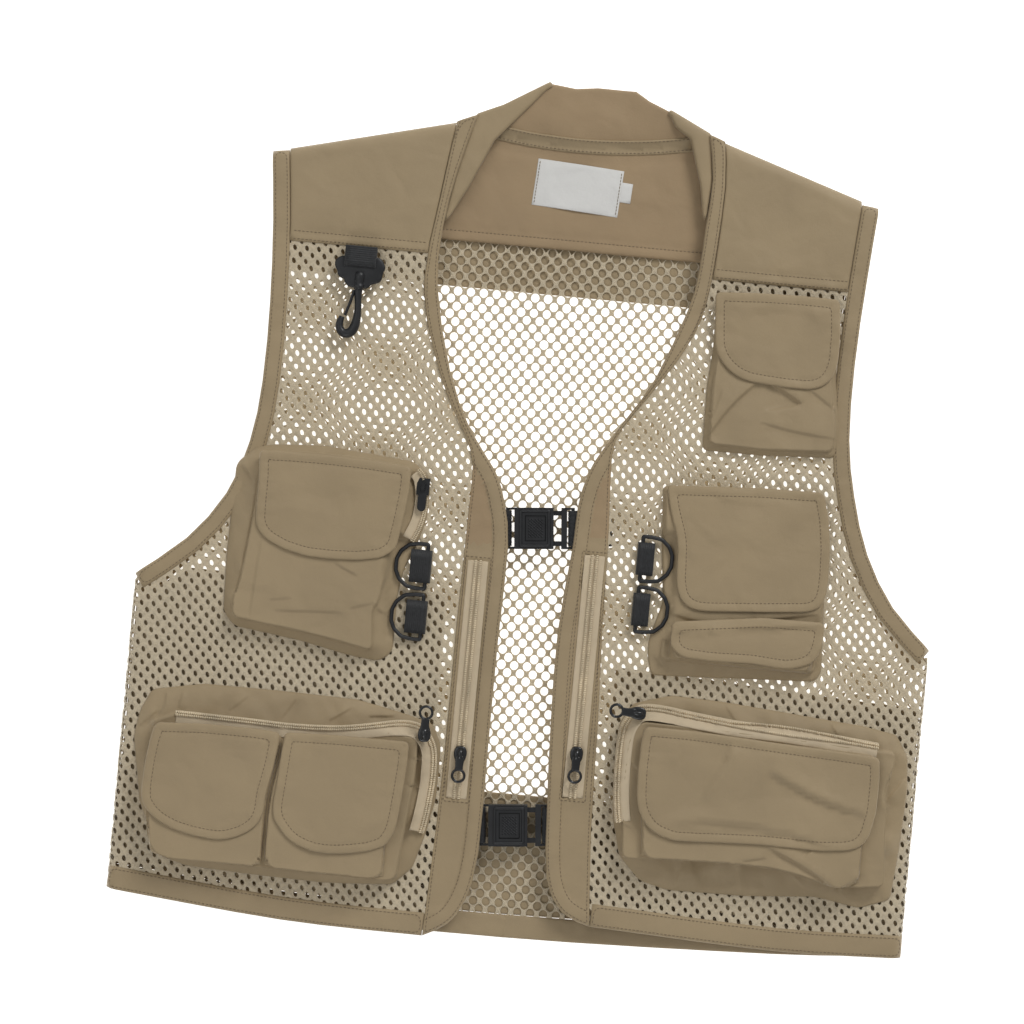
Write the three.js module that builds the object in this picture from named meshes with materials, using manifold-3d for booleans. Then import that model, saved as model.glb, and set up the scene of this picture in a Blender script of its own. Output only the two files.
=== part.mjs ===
// A mesh fishing vest, lying on its back with the front up. Millimetres, +X to the right as seen
// from above, +Y towards the collar, +Z up. The origin is the middle of the footprint, on the floor.
import * as THREE from "three";
import { mergeVertices } from "three/addons/utils/BufferGeometryUtils.js";
import Module from "manifold-3d";

const wasm = await Module();
wasm.setup();

// Driving dimensions
const HALF_WIDTH = 280;
const CENTRE_Y = 4.5; // moves the drawing so that the footprint is centred on the origin
const FAR = 400; // beyond every edge of the vest
const GAP = 0.3; // clearance between neighbouring pieces
const FABRIC = 1.2; // one layer of cloth with its coating and hems
const BINDING = 12; // width of the tape that edges the neck and the armholes
const HEM = 16;
const COLLAR_EDGE = 1.4; // thickness of the collar where it folds over

// Heights of the layers, from the floor up
const OUTER_BACK = [0, 1.2];
const BACK_MESH = [1.5, 2.5];
const FACING = [2.8, 3.8];
const COLLAR = [4.1, 13.3];
const FRONT = [14, 15.2];
const PLACKET = [13.6, 15.6];
const EDGING = [13.9, 15.5];
const POCKET_FLOOR = 15.9;

// Heights of the pocket faces
const CHEST_TOP = 27;
const UPPER_TOP = 22.5;
const MID_TOP = 22;
const MID_PATCH_TOP = 28;
const LOWER_TOP = 30;
const PATCH_TOP = 37;
const FLAP_LIFT = 0.6; // space between a pocket face and the flap over it

// Levels of the seams that cross the vest
const YOKE_SEAM = 170;
const OUTER_YOKE_HEM = 150;
const FACING_HEM = 182;
const BACK_MESH_TOP = 178;
const REAR_POCKET_TOP = -203;

// Zips
const TAPE_WIDTH = 12;
const TAPE_THICK = 0.8;
const COIL_WIDTH = 4;
const COIL_HIGH = 1.8;
const SLIDER = { length: 12, width: 9, plate: 1.5, cheek: 1.9 };
const PULL = { width: 6, thick: 1.2, bar: 1.4, eye: 4.3, length: 18 };

// Webbing, rings, buckles and hook
const WEBBING = 1.2;
const RING = { tall: 34, reach: 24, section: 2.6 };
const RING_TAPE = 20;
const STRAP_WIDTH = 25;
const BUCKLE_TURN = THREE.MathUtils.degToRad(5);
const HOOK_X = -142;
const HOOK_Z = 23;

// The left and right fronts. x is the distance from the centre line, and each list runs downwards.
const SIDES = {
  left: {
    sign: -1,
    edge: [
      [70, 270], [80, 232], [87, 190], [87, 147], [73, 90], [55, 50], [35, 23], [26, 0],
      [21, -30], [22, -95], [22, -170], [22, -245], [28, -278], [39, -296], [56, -306],
    ],
    seam: [
      [84, 264], [91, 208], [97, 147], [84, 98], [70, 66], [58, 45], [51, 25],
      [51, -10], [52, -100], [52, -180], [54, -250], [56, -306],
    ],
    armhole: [
      [211, 232], [206, 183], [203, 127], [203, 71], [208, 28], [221, -10], [246, -44], [280, -72],
    ],
    hem: [[56, -306], [156, -304], [280, -293]],
  },
  right: {
    sign: 1,
    edge: [
      [93, 271], [98, 240], [96, 205], [94, 173], [89, 147], [71, 98], [54, 69], [39, 45],
      [30, 27], [25, 3], [24, -25], [19, -85], [20, -150], [23, -211], [27, -258], [40, -281], [60, -289],
    ],
    seam: [
      [104, 267], [107, 235], [105, 187], [102, 155], [95, 130], [78, 100], [60, 74], [47, 52],
      [46, 25], [48, -10], [50, -80], [53, -150], [55, -220], [60, -289],
    ],
    armhole: [
      [216, 231], [212, 178], [209, 120], [210, 67], [217, 28], [230, -12], [251, -47], [280, -75],
    ],
    hem: [[60, -289], [190, -294], [280, -291]],
  },
};
const BACK_HEM = [[-280, -293], [-156, -302], [0, -304], [190, -298], [280, -291]];
const BACK_NECK = [[-84, 264], [-45, 257], [0, 254], [50, 257], [104, 267]];

const COLOURS = {
  tan: [0x8f8066, 0.8, 0],
  lining: [0x94795f, 0.8, 0],
  mesh: [0xb3a488, 0.85, 0],
  tape: [0xb7a084, 0.85, 0],
  webbing: [0x17181a, 0.8, 0],
  plastic: [0x131416, 0.4, 0],
};

// Geometry and booleans

function solid(geometry) {
  const bare = geometry.clone();
  bare.deleteAttribute("normal");
  bare.deleteAttribute("uv");
  const merged = mergeVertices(bare, 1e-3);
  return new wasm.Manifold(
    new wasm.Mesh({
      numProp: 3,
      vertProperties: merged.attributes.position.array,
      triVerts: new Uint32Array(merged.index.array),
    }),
  );
}

function join(first, ...others) {
  return others.reduce((sum, other) => sum.add(other), first);
}

function cut(first, ...others) {
  return others.reduce((rest, other) => rest.subtract(other), first);
}

function geometryOf(shape) {
  const mesh = shape.getMesh();
  const geometry = new THREE.BufferGeometry();
  geometry.setAttribute("position", new THREE.BufferAttribute(mesh.vertProperties, 3));
  geometry.setIndex(new THREE.BufferAttribute(mesh.triVerts, 1));
  return geometry;
}

const vectors = (points) => points.map(([x, y]) => new THREE.Vector2(x, y));

function counterClockwise(points) {
  return THREE.ShapeUtils.isClockWise(vectors(points)) ? [...points].reverse() : points;
}

function extruded(points, depth, hole) {
  const shape = new THREE.Shape(vectors(counterClockwise(points)));
  if (hole) shape.holes = [new THREE.Path(vectors(counterClockwise(hole)))];
  return new THREE.ExtrudeGeometry(shape, { depth, bevelEnabled: false });
}

const plateGeometry = (points, [z0, z1], hole = null) =>
  extruded(points, z1 - z0, hole).translate(0, 0, z0);

const plate = (points, heights, hole) => solid(plateGeometry(points, heights, hole));

// A section in x and z, extruded along y.
const sideways = (points, [y0, y1], hole = null) =>
  solid(extruded(points, y1 - y0, hole).rotateX(Math.PI / 2).translate(0, y1, 0));

function box([x0, x1], [y0, y1], [z0, z1]) {
  const geometry = new THREE.BoxGeometry(x1 - x0, y1 - y0, z1 - z0);
  return solid(geometry.translate((x0 + x1) / 2, (y0 + y1) / 2, (z0 + z1) / 2));
}

const rectangle = (x0, x1, y0, y1) => [[x0, y0], [x1, y0], [x1, y1], [x0, y1]];

function arc([cx, cy], radius, from, to, steps) {
  const points = [];
  for (let i = 0; i <= steps; i++) {
    const angle = THREE.MathUtils.degToRad(from + ((to - from) * i) / steps);
    points.push([cx + radius * Math.cos(angle), cy + radius * Math.sin(angle)]);
  }
  return points;
}

// A smooth line through the given points.
function smooth(points, perSpan = 2) {
  const curve = new THREE.SplineCurve(vectors(points));
  return curve.getPoints((points.length - 1) * perSpan).map((p) => [p.x, p.y]);
}

// A line or closed outline moved to its left-hand side by distance.
function shifted(points, distance, closed = false) {
  const count = points.length;
  return points.map((point, i) => {
    const before = closed ? points[(i + count - 1) % count] : points[Math.max(i - 1, 0)];
    const after = closed ? points[(i + 1) % count] : points[Math.min(i + 1, count - 1)];
    const back = new THREE.Vector2(point[0] - before[0], point[1] - before[1]).normalize();
    const ahead = new THREE.Vector2(after[0] - point[0], after[1] - point[1]).normalize();
    if (!back.lengthSq()) back.copy(ahead);
    if (!ahead.lengthSq()) ahead.copy(back);
    const middle = back.clone().add(ahead).normalize();
    const reach = distance / Math.max(middle.dot(ahead), 0.3);
    return [point[0] - middle.y * reach, point[1] + middle.x * reach];
  });
}

const reversed = (points) => [...points].reverse();
const mirrored = (points, sign) => points.map(([x, y]) => [sign * x, y]);

// The strip between a line and the same line moved to its left-hand side.
const strip = (line, width) => [...line, ...reversed(shifted(line, width))];

// Assembly

const vest = new THREE.Group();
vest.position.y = CENTRE_Y;

function add(name, shape, colour, parent = vest) {
  const [color, roughness, metalness] = COLOURS[colour];
  const material = new THREE.MeshStandardMaterial({ color, roughness, metalness });
  const geometry = shape.isBufferGeometry ? shape : geometryOf(shape);
  const mesh = new THREE.Mesh(geometry, material);
  mesh.name = name;
  parent.add(mesh);
  return mesh;
}

function frame(x, y, z = 0, turn = 0) {
  const group = new THREE.Group();
  group.position.set(x, y, z);
  group.rotation.z = turn;
  vest.add(group);
  return group;
}

// Panels of the body. Every panel starts from the outline of the front or the back,
// and gives way to the bindings, plackets and hems around it.

const WHOLE_HEIGHT = [-1, 60];
const EDGE_TRIM = 0.1; // squares off the bindings where they end at the side

for (const side of Object.values(SIDES)) {
  side.edgeLine = smooth(mirrored(side.edge, side.sign));
  side.seamLine = smooth(mirrored(side.seam, side.sign));
  side.armholeLine = smooth(mirrored(side.armhole, side.sign));
  side.hemLine = smooth(mirrored(side.hem, side.sign), 4);
  side.shoulder = [side.seamLine[0], side.armholeLine[0]];
}
const backHemLine = smooth(BACK_HEM, 4);

// Everything between the centre line and the placket's outer seam.
function placketSide(side, gap) {
  const line = shifted(side.seamLine, side.sign * gap);
  const top = line[0];
  const bottom = line[line.length - 1];
  return plate([[0, FAR], [top[0], FAR], ...line, [bottom[0], -FAR], [0, -FAR]], WHOLE_HEIGHT);
}

// Everything outside the armhole line moved into the cloth by inset.
function armholeSide(side, inset) {
  const line = shifted(side.armholeLine, -side.sign * inset);
  const end = line[line.length - 1];
  const outside = side.sign * FAR;
  return plate([[outside, FAR], [line[0][0], FAR], ...line, [outside, end[1]]], WHOLE_HEIGHT);
}

// Everything beyond the shoulder line moved into the cloth by inset.
function shoulderSide(side, inset) {
  const [neck, tip] = shifted(side.shoulder, -side.sign * inset);
  const [reach, fall] = [30, 8.6]; // the shoulder's slope, carried on past both its ends
  const centre = [neck[0] - side.sign * reach, neck[1] + fall];
  const outside = [tip[0] + side.sign * reach, tip[1] - fall];
  return plate([centre, neck, tip, outside, [outside[0], FAR], [centre[0], FAR]], WHOLE_HEIGHT);
}

// Everything below a hem line moved up by width.
function below(line, width) {
  const leftToRight = line[0][0] < line[line.length - 1][0] ? line : reversed(line);
  const raised = shifted(leftToRight, width);
  const first = raised[0];
  const last = raised[raised.length - 1];
  return plate(
    [[first[0] - FAR, first[1]], ...raised, [last[0] + FAR, last[1]], [last[0] + FAR, -FAR],
      [first[0] - FAR, -FAR]],
    WHOLE_HEIGHT,
  );
}

const above = (y) => box([-FAR, FAR], [y, FAR], WHOLE_HEIGHT);
const under = (y) => box([-FAR, FAR], [-FAR, y], WHOLE_HEIGHT);

function frontOutline(side) {
  const hem = side.hemLine.slice(1);
  return [...side.edgeLine, ...hem, ...reversed(side.armholeLine), side.seamLine[0]];
}

function backOutline() {
  const { left, right } = SIDES;
  return [
    ...smooth(BACK_NECK), ...right.armholeLine, ...reversed(backHemLine),
    ...reversed(left.armholeLine),
  ];
}

function sideWall(side, thick, heights) {
  const outer = side.sign * HALF_WIDTH;
  const inner = outer - side.sign * thick;
  return box([Math.min(outer, inner), Math.max(outer, inner)], [-FAR, FAR], heights);
}

function backPanel(heights) {
  const edges = Object.values(SIDES).flatMap((side) => [
    armholeSide(side, BINDING + GAP),
    shoulderSide(side, FABRIC + GAP),
    sideWall(side, FABRIC + GAP, WHOLE_HEIGHT),
  ]);
  return cut(plate(backOutline(), heights), ...edges, below(backHemLine, HEM + GAP));
}

function buildBack() {
  add("back_mesh_panel", cut(backPanel(BACK_MESH), above(BACK_MESH_TOP)), "mesh");
  add("back_yoke", cut(backPanel(OUTER_BACK), under(OUTER_YOKE_HEM)), "tan");
  add("yoke_facing", cut(backPanel(FACING), under(FACING_HEM)), "lining");
  add("rear_pocket", cut(backPanel(OUTER_BACK), above(REAR_POCKET_TOP)), "tan");
}

function buildFront(name, side) {
  const outline = frontOutline(side);
  const edges = [placketSide(side, GAP), armholeSide(side, BINDING + GAP)];
  const hem = below(side.hemLine, HEM + GAP);
  const wall = cut(
    sideWall(side, FABRIC, [BACK_MESH[0], FRONT[1]]),
    armholeSide(side, BINDING + GAP),
    hem,
    below(backHemLine, HEM + GAP),
  );
  const front = cut(plate(outline, FRONT), ...edges, hem, above(YOKE_SEAM - GAP / 2));
  add(`front_mesh_${name}`, join(front, wall), "mesh");

  const whole = plate(outline, [OUTER_BACK[0], FRONT[1]]);
  const ridge = cut(whole.intersect(shoulderSide(side, FABRIC)), ...edges);
  const yoke = cut(plate(outline, FRONT), ...edges, under(YOKE_SEAM + GAP / 2));
  add(`shoulder_yoke_${name}`, join(yoke, ridge), "tan");

  const placket = [...side.edgeLine, ...reversed(side.seamLine).slice(1)];
  add(`placket_${name}`, plate(placket, PLACKET), "tan");
}

// The binding runs round the armhole, on the front and on the back, and turns over at the
// shoulder and under the arm.
function buildArmhole(name, side) {
  const band = strip(side.armholeLine, -side.sign * BINDING);
  const pastTheSide = sideWall(side, EDGE_TRIM, WHOLE_HEIGHT);
  const full = plate(band, [0, EDGING[1]]);
  const turns = join(
    full.intersect(shoulderSide(side, FABRIC)),
    full.intersect(sideWall(side, FABRIC, WHOLE_HEIGHT)),
  );
  const loop = join(plate(band, EDGING), plate(band, [0, FACING[1]]), turns);
  add(`armhole_binding_${name}`, cut(loop, pastTheSide), "tan");
}

// Each half of the hem band runs along a front, turns under at the side and comes back to a
// joint at the middle of the back.
function buildHem(name, side) {
  const everyHeight = [0, EDGING[1]];
  const otherHalf = side.sign > 0 ? [-FAR, GAP / 2] : [-GAP / 2, FAR];
  const back = cut(
    plate(strip(backHemLine, HEM), [0, BACK_MESH[1]]),
    box(otherHalf, [-FAR, FAR], WHOLE_HEIGHT),
  );
  const front = cut(plate(strip(side.hemLine, side.sign * HEM), EDGING), placketSide(side, GAP));
  const bothLayers = join(
    plate(strip(backHemLine, HEM), everyHeight),
    plate(strip(side.hemLine, side.sign * HEM), everyHeight),
  );
  const turn = bothLayers.intersect(sideWall(side, FABRIC, everyHeight));
  const beyond = side.sign > 0 ? [HALF_WIDTH, FAR] : [-FAR, -HALF_WIDTH];
  const whole = cut(join(front, back, turn), box(beyond, [-FAR, FAR], WHOLE_HEIGHT));
  add(`hem_band_${name}`, whole, "tan");
}

// The collar stands on the back neck and folds over at each end, where it narrows to a point
// on the front edge.
function buildCollar() {
  const crest = [
    [-70, 270], [-52, 278], [-21, 297], [-3, 295], [12, 297], [39, 297], [49, 291], [64, 285], [93, 271],
  ];
  const neck = [[78, 262], [45, 256], [0, 253], [-45, 256], [-60, 261]];
  const [z0, z1] = COLLAR;
  const stand = plate([...crest, ...neck], [z0, z0 + FABRIC]);
  const leftFold = plate(
    [[-70, 270], [-52, 278], [-21, 297], [-46, 268], [-58, 254], [-73, 220], [-86, 195], [-80, 232]],
    [z1 - FABRIC, z1],
  );
  const rightFold = plate(
    [[93, 271], [64, 285], [70, 275], [81, 268], [86, 252], [91, 236], [95, 212], [97, 240]],
    [z1 - FABRIC, z1],
  );
  const leftWall = plate(strip(crest.slice(0, 3), -COLLAR_EDGE), COLLAR);
  const rightWall = plate(strip(crest.slice(7), -COLLAR_EDGE), COLLAR);
  add("collar_band", join(stand, leftFold, rightFold, leftWall, rightWall), "tan");
}

// Pockets

// A pocket is a lid over the panel behind it: a face and walls, open below and at its mouth.
function lid(outline, [z0, z1], mouth = null) {
  const inner = shifted(counterClockwise(outline), FABRIC, true);
  const shell = cut(plate(outline, [z0, z1]), plate(inner, [z0 - 1, z1 - FABRIC]));
  return mouth ? cut(shell, plate(mouth, [z1 - FABRIC - 1, z1 + 1])) : shell;
}

function roundedPatch(width, length, radius) {
  return [
    [0, 0], ...arc([radius, radius - length], radius, 180, 270, 6),
    ...arc([width - radius, radius - length], radius, 270, 360, 6), [width, 0],
  ];
}

const toFrame = (points, [x, y], angle) =>
  points.map(([u, v]) => [
    x + u * Math.cos(angle) - v * Math.sin(angle),
    y + u * Math.sin(angle) + v * Math.cos(angle),
  ]);

const CHEST_SIDE = -94; // where the chest pocket's zip is sewn on
const CHEST_OUTLINE = [
  [-214, 8], [-214, -36], [-205, -102], [-173, -109], [-123, -117], [-104, -112], [-104, -28],
  [CHEST_SIDE, -24], [CHEST_SIDE, 19], [-152, 26], [-202, 21],
];
const CHEST_ZIP = [-84, 15, 42]; // x, the upper end and the length
const LOWER_LEFT_OUTLINE = [
  [-264, -152], [-270, -190], [-261, -238], [-250, -261], [-226, -267], [-71, -268], [-61, -235],
  [-57, -195], [-60, -168], [-71, -153], [-112, -145], [-222, -145],
];
const LOWER_RIGHT_OUTLINE = [
  [72, -134], [68, -165], [77, -240], [88, -254], [104, -262], [124, -264], [212, -259], [248, -255],
  [270, -247], [270, -209], [278, -173], [276, -152], [268, -137], [186, -127], [95, -125],
];

// Flaps. start is the left end of the sewn edge, which is the hinge line, and turn is its slope.
const FLAPS = {
  chest_flap: { start: [-199, 22], turn: -0.009, width: 106, length: 67, radius: 12, top: CHEST_TOP },
  upper_flap: { start: [106, 161], turn: 0.03, width: 88, length: 61, radius: 18, top: UPPER_TOP },
  mid_flap_upper: { start: [99, 25], turn: 0.035, width: 99, length: 83, radius: 14, top: MID_TOP },
  mid_flap_lower: {
    start: [100, -63], turn: 0.02, width: 102, length: 32, radius: 10, top: MID_PATCH_TOP,
  },
  lower_left_flap_outer: {
    start: [-254, -171.5], turn: 0, width: 87, length: 76, radius: 20, top: PATCH_TOP,
  },
  lower_left_flap_inner: {
    start: [-163, -173], turn: 0.045, width: 85, length: 80, radius: 20, top: PATCH_TOP,
  },
  lower_right_flap: {
    start: [85, -141], turn: -0.052, width: 173, length: 79, radius: 20, top: PATCH_TOP,
  },
};

// The patch pockets on the faces of the lower pockets: the left end of the mouth, slope and size.
const LEFT_PATCHES = {
  outer: { start: [-254, -173], turn: 0, width: 86, length: 88 },
  inner: { start: [-162, -173], turn: 0, width: 84, length: 89 },
};
const RIGHT_PATCH = {
  start: [87, -144], turn: FLAPS.lower_right_flap.turn, width: 170, length: 104,
};

function facePatch({ start, turn, width, length }, floor) {
  const outline = toFrame(roundedPatch(width, length, 20), start, turn);
  return lid(outline, [floor, PATCH_TOP], toFrame(rectangle(8, width - 8, -16, -4), start, turn));
}

// The lower zips turn a corner: a straight run along the pocket's top and a short one down its side.
const LOWER_ZIPS = {
  left: {
    top: { start: [-241, -163.5], turn: Math.PI / 2, length: 168.5 },
    side: { start: [-67, -157.5], turn: 0, length: 80 },
    slider: { at: [-67, -163.5], turn: 0 },
  },
  right: {
    top: {
      start: [74, -135.6], turn: Math.PI / 2 + FLAPS.lower_right_flap.turn, length: 184,
    },
    side: { start: [79, -140], turn: FLAPS.lower_right_flap.turn, length: 72 },
    slider: { at: [79, -135.9], turn: Math.PI / 2 + FLAPS.lower_right_flap.turn },
  },
};
const LOWER_ZIP_FLOOR = LOWER_TOP - GAP; // the tape is sewn into the pocket's face

function cornerZip({ top, side }) {
  const along = ({ start, turn, length }) =>
    solid(geometryOf(zipRun(length)).rotateZ(turn).translate(...start, LOWER_ZIP_FLOOR));
  return join(along(top), along(side));
}

function buildPockets() {
  const chestMouth = rectangle(-196, -108, 4, 17);
  const chestLid = lid(CHEST_OUTLINE, [POCKET_FLOOR, CHEST_TOP], chestMouth);
  const [zipX, zipY, zipLength] = CHEST_ZIP;
  const chestZip = zipRun(zipLength).translate([zipX, zipY, POCKET_FLOOR]);
  const seamAllowance = box(
    [CHEST_SIDE - FABRIC, zipX], [zipY - zipLength, zipY], [POCKET_FLOOR, POCKET_FLOOR + TAPE_THICK],
  );
  add("chest_pocket", join(chestLid, chestZip, seamAllowance), "tan");

  const upper = [
    [108, 158], [107, 55], [112, 49], [150, 51], [202, 54], [203, 70], [196, 110], [192, 159],
  ];
  const upperMouth = rectangle(114, 188, 138, 154);
  add("upper_pocket", lid(upper, [POCKET_FLOOR, UPPER_TOP], upperMouth), "tan");

  const mid = [[100, 22], [100, -84], [84, -86], [85, -109], [205, -103], [205, -60], [199, 26]];
  const midLid = lid(mid, [POCKET_FLOOR, MID_TOP], rectangle(106, 192, 2, 17));
  const midPatch = lid(
    [[104, -66], [104, -99], [198, -97], [198, -66]],
    [MID_TOP - GAP, MID_PATCH_TOP],
    rectangle(112, 190, -80, -69),
  );
  add("mid_pocket", join(midLid, midPatch), "tan");

  add(
    "lower_pocket_left",
    join(lid(LOWER_LEFT_OUTLINE, [POCKET_FLOOR, LOWER_TOP]), cornerZip(LOWER_ZIPS.left)),
    "tan",
  );
  add(
    "lower_pocket_right",
    join(
      lid(LOWER_RIGHT_OUTLINE, [POCKET_FLOOR, LOWER_TOP]),
      facePatch(RIGHT_PATCH, LOWER_TOP - GAP),
      cornerZip(LOWER_ZIPS.right),
    ),
    "tan",
  );
  for (const [name, place] of Object.entries(LEFT_PATCHES)) {
    add(`lower_patch_${name}`, facePatch(place, LOWER_TOP + GAP), "tan");
  }
}

function buildFlaps() {
  for (const [name, flap] of Object.entries(FLAPS)) {
    const outline = roundedPatch(flap.width, flap.length, flap.radius);
    const group = frame(...flap.start, flap.top + FLAP_LIFT, flap.turn);
    add(name, plateGeometry(outline, [0, FABRIC]), "tan", group);
  }
}

// Zips. A run is drawn along -Y from its own origin, with the tape's underside at z = 0.

function zipRun(length) {
  const tape = box([-TAPE_WIDTH / 2, TAPE_WIDTH / 2], [-length, 0], [0, TAPE_THICK]);
  const coilTop = TAPE_THICK + COIL_HIGH;
  return join(tape, box([-COIL_WIDTH / 2, COIL_WIDTH / 2], [1 - length, -1], [0, coilTop]));
}

// The slider straddles the coil. Its arch holds the bar of the pull, whose axis is the hinge.
function slider() {
  const coilTop = TAPE_THICK + COIL_HIGH;
  const half = SLIDER.width / 2;
  const plateZ = [coilTop + GAP, coilTop + GAP + SLIDER.plate];
  const endY = [-SLIDER.length / 2, SLIDER.length / 2];
  const top = box([-half, half], endY, plateZ);
  const cheekZ = [TAPE_THICK + GAP, plateZ[1]];
  const cheeks = [-1, 1].map((sign) => {
    const inner = sign * (half - SLIDER.cheek);
    const outer = sign * half;
    return box([Math.min(inner, outer), Math.max(inner, outer)], endY, cheekZ);
  });
  const arch = sidewaysArch(plateZ[1]);
  return join(top, ...cheeks, arch);
}

const ARCH = { span: 2.3, leg: 1, rise: 3.7, halfWidth: 1.2 };

function sidewaysArch(floor) {
  const { span, leg, rise, halfWidth } = ARCH;
  const outer = box([-halfWidth, halfWidth], [-span, span], [floor - GAP, floor + rise]);
  const hole = box([-9, 9], [leg - span, span - leg], [floor + 0.2, floor + rise - 0.9]);
  return cut(outer, hole);
}

const PULL_AXIS = TAPE_THICK + COIL_HIGH + GAP + SLIDER.plate + 1.5;

function pull() {
  const half = PULL.width / 2;
  const outline = [
    ...arc([0, half + 0.7 - PULL.length], half, 180, 360, 8), [half, 0.7], [-half, 0.7],
  ];
  const eye = rectangle(-1.8, 1.8, -PULL.eye, -PULL.bar / 2);
  return plateGeometry(outline, [-PULL.thick / 2, PULL.thick / 2], eye);
}

// A zip with its slider and pull. turn swings the run from -Y, and at is how far along it the
// slider stands. A pull with pullTurn of pi lies back over the closed end.
function buildZip(name, [x, y], z, turn, length, at, pullTurn) {
  const run = frame(x, y, z, turn);
  add(`zip_${name}`, zipRun(length), "tape", run);
  const place = new THREE.Group();
  place.position.y = -at;
  run.add(place);
  add(`zip_slider_${name}`, slider(), "plastic", place);
  const tab = add(`zip_pull_${name}`, pull(), "plastic", place);
  tab.position.z = PULL_AXIS;
  tab.rotation.z = pullTurn;
}

// The slider and pull of a lower zip. The pull lies back over the closed end.
function buildCornerSlider(name, { at, turn }) {
  const place = frame(...at, LOWER_ZIP_FLOOR, turn);
  add(`zip_slider_${name}`, slider(), "plastic", place);
  const tab = add(`zip_pull_${name}`, pull(), "plastic", place);
  tab.position.z = PULL_AXIS;
  tab.rotation.z = Math.PI;
}

function buildZips() {
  buildZip("placket_left", [-41, -41], POCKET_FLOOR, 0, 167, 136, 0);
  buildZip("placket_right", [40, -30], POCKET_FLOOR, 0, 170, 140, 0);

  const [x, y] = CHEST_ZIP;
  const chestPull = solid(pull().translate(0, 0, PULL_AXIS - 1));
  add("zip_slider_chest", join(slider(), chestPull), "plastic", frame(x, y - 8, POCKET_FLOOR));

  buildCornerSlider("lower_left", LOWER_ZIPS.left.slider);
  buildCornerSlider("lower_right", LOWER_ZIPS.right.slider);
}

// Rings. The straight bar of each D lies in a loop of webbing, which is sewn into the pocket's seam.

const LOOP = { outer: 3.3, inner: 2.1, foot: 27 }; // the webbing's radii round a bar, and its foot
const RING_HEIGHT = POCKET_FLOOR + LOOP.outer;

function ringOutline(sign, reach, tall, inset) {
  const half = tall / 2 - inset;
  const depth = reach - 2 * inset;
  const straight = 8; // the legs run straight before they bend
  const bow = arc([0, 0], 1, -90, 90, 14).map(([x, y]) => [x * (depth - straight) + straight, y * half]);
  const points = [[0, -half], ...bow, [0, half]].map(([x, y]) => [x + inset, y]);
  return points.map(([x, y]) => [sign * (x - RING.section / 2), y]);
}

function dRing(sign) {
  const heights = [-RING.section / 2, RING.section / 2];
  const outer = ringOutline(sign, RING.reach, RING.tall, 0);
  const inner = ringOutline(sign, RING.reach, RING.tall, RING.section);
  return plateGeometry(outer, heights, inner);
}

// The loop round a ring's bar, with the foot that runs from it to the pocket's seam.
function webbingLoop(sign, across) {
  const { outer, inner, foot: reach } = LOOP;
  const ring = sideways(arc([0, 0], outer, 0, 345, 23), across, arc([0, 0], inner, 0, 330, 11));
  const foot = rectangle(0, sign * reach, -outer, WEBBING - outer);
  return join(ring, sideways(foot, across));
}

const RINGS = {
  left: { sign: -1, bars: [[-76.5, -48.5], [-76.5, -84]] },
  right: { sign: 1, bars: [[72.5, -29], [72.5, -64.5]] },
};

function buildRings() {
  for (const [name, set] of Object.entries(RINGS)) {
    const loops = set.bars.map(([x, y]) => {
      const loop = geometryOf(webbingLoop(set.sign, [y - RING_TAPE / 2, y + RING_TAPE / 2]));
      return solid(loop.translate(x, 0, RING_HEIGHT));
    });
    const seamX = [LOOP.foot - 3, LOOP.foot].map((reach) => set.bars[0][0] + set.sign * reach);
    seamX.sort((a, b) => a - b);
    const seamY = [set.bars[1][1] - RING_TAPE / 2, set.bars[0][1] + RING_TAPE / 2];
    const seam = box(seamX, seamY, [POCKET_FLOOR, POCKET_FLOOR + WEBBING]);
    add(`ring_webbing_${name}`, join(...loops, seam), "webbing");
    ["upper", "lower"].forEach((level, i) => {
      const ring = add(`d_ring_${level}_${name}`, dRing(set.sign), "plastic");
      ring.position.set(...set.bars[i], RING_HEIGHT);
    });
  }
}

// Buckles. Each is drawn about its middle: the female half to the left, the male half to the right.

const BAR = [9, 11.4]; // heights of the bars that the webbing goes round
const HALF_HOUSING = 14.5;
const ARM = 1.5; // thickness of the arms that carry a bar
const HOUSING = {
  shell: [-18, 9.5], cavity: [-15, 11], z: [7, 16], cavityZ: [8.2, 12.4], wall: 1.5,
  window: [-10.5, 4], halfWindow: 9, bar: [-24, -21.4], armStart: -17,
};
const PRONGS = { x: [-13, 16], inner: 9, outer: 12.4, cross: [15, 19], crossZ: [7.6, 12.8] };
const MALE_BAR = [22, 24.4];
const BUTTON = { x: [-10.1, 3.6], half: 8.6, z: [12.9, 15.2] };

const eachSide = (make) => [-1, 1].map(make);

function pairedBox(sign, x, [inner, outer], z) {
  return box(x, [sign * inner, sign * outer].sort((a, b) => a - b), z);
}

function buckleFemale() {
  const { shell, cavity, z, cavityZ, wall, window, halfWindow, bar, armStart } = HOUSING;
  const halfCavity = HALF_HOUSING - wall;
  const housing = cut(
    box(shell, [-HALF_HOUSING, HALF_HOUSING], z),
    box(cavity, [-halfCavity, halfCavity], cavityZ),
    box(window, [-halfWindow, halfWindow], [cavityZ[1] - 0.4, z[1] + 1]),
  );
  const arms = eachSide((sign) => {
    return pairedBox(sign, [bar[0], armStart], [HALF_HOUSING - ARM, HALF_HOUSING], BAR);
  });
  return join(housing, box(bar, [-HALF_HOUSING, HALF_HOUSING], BAR), ...arms);
}

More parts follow.
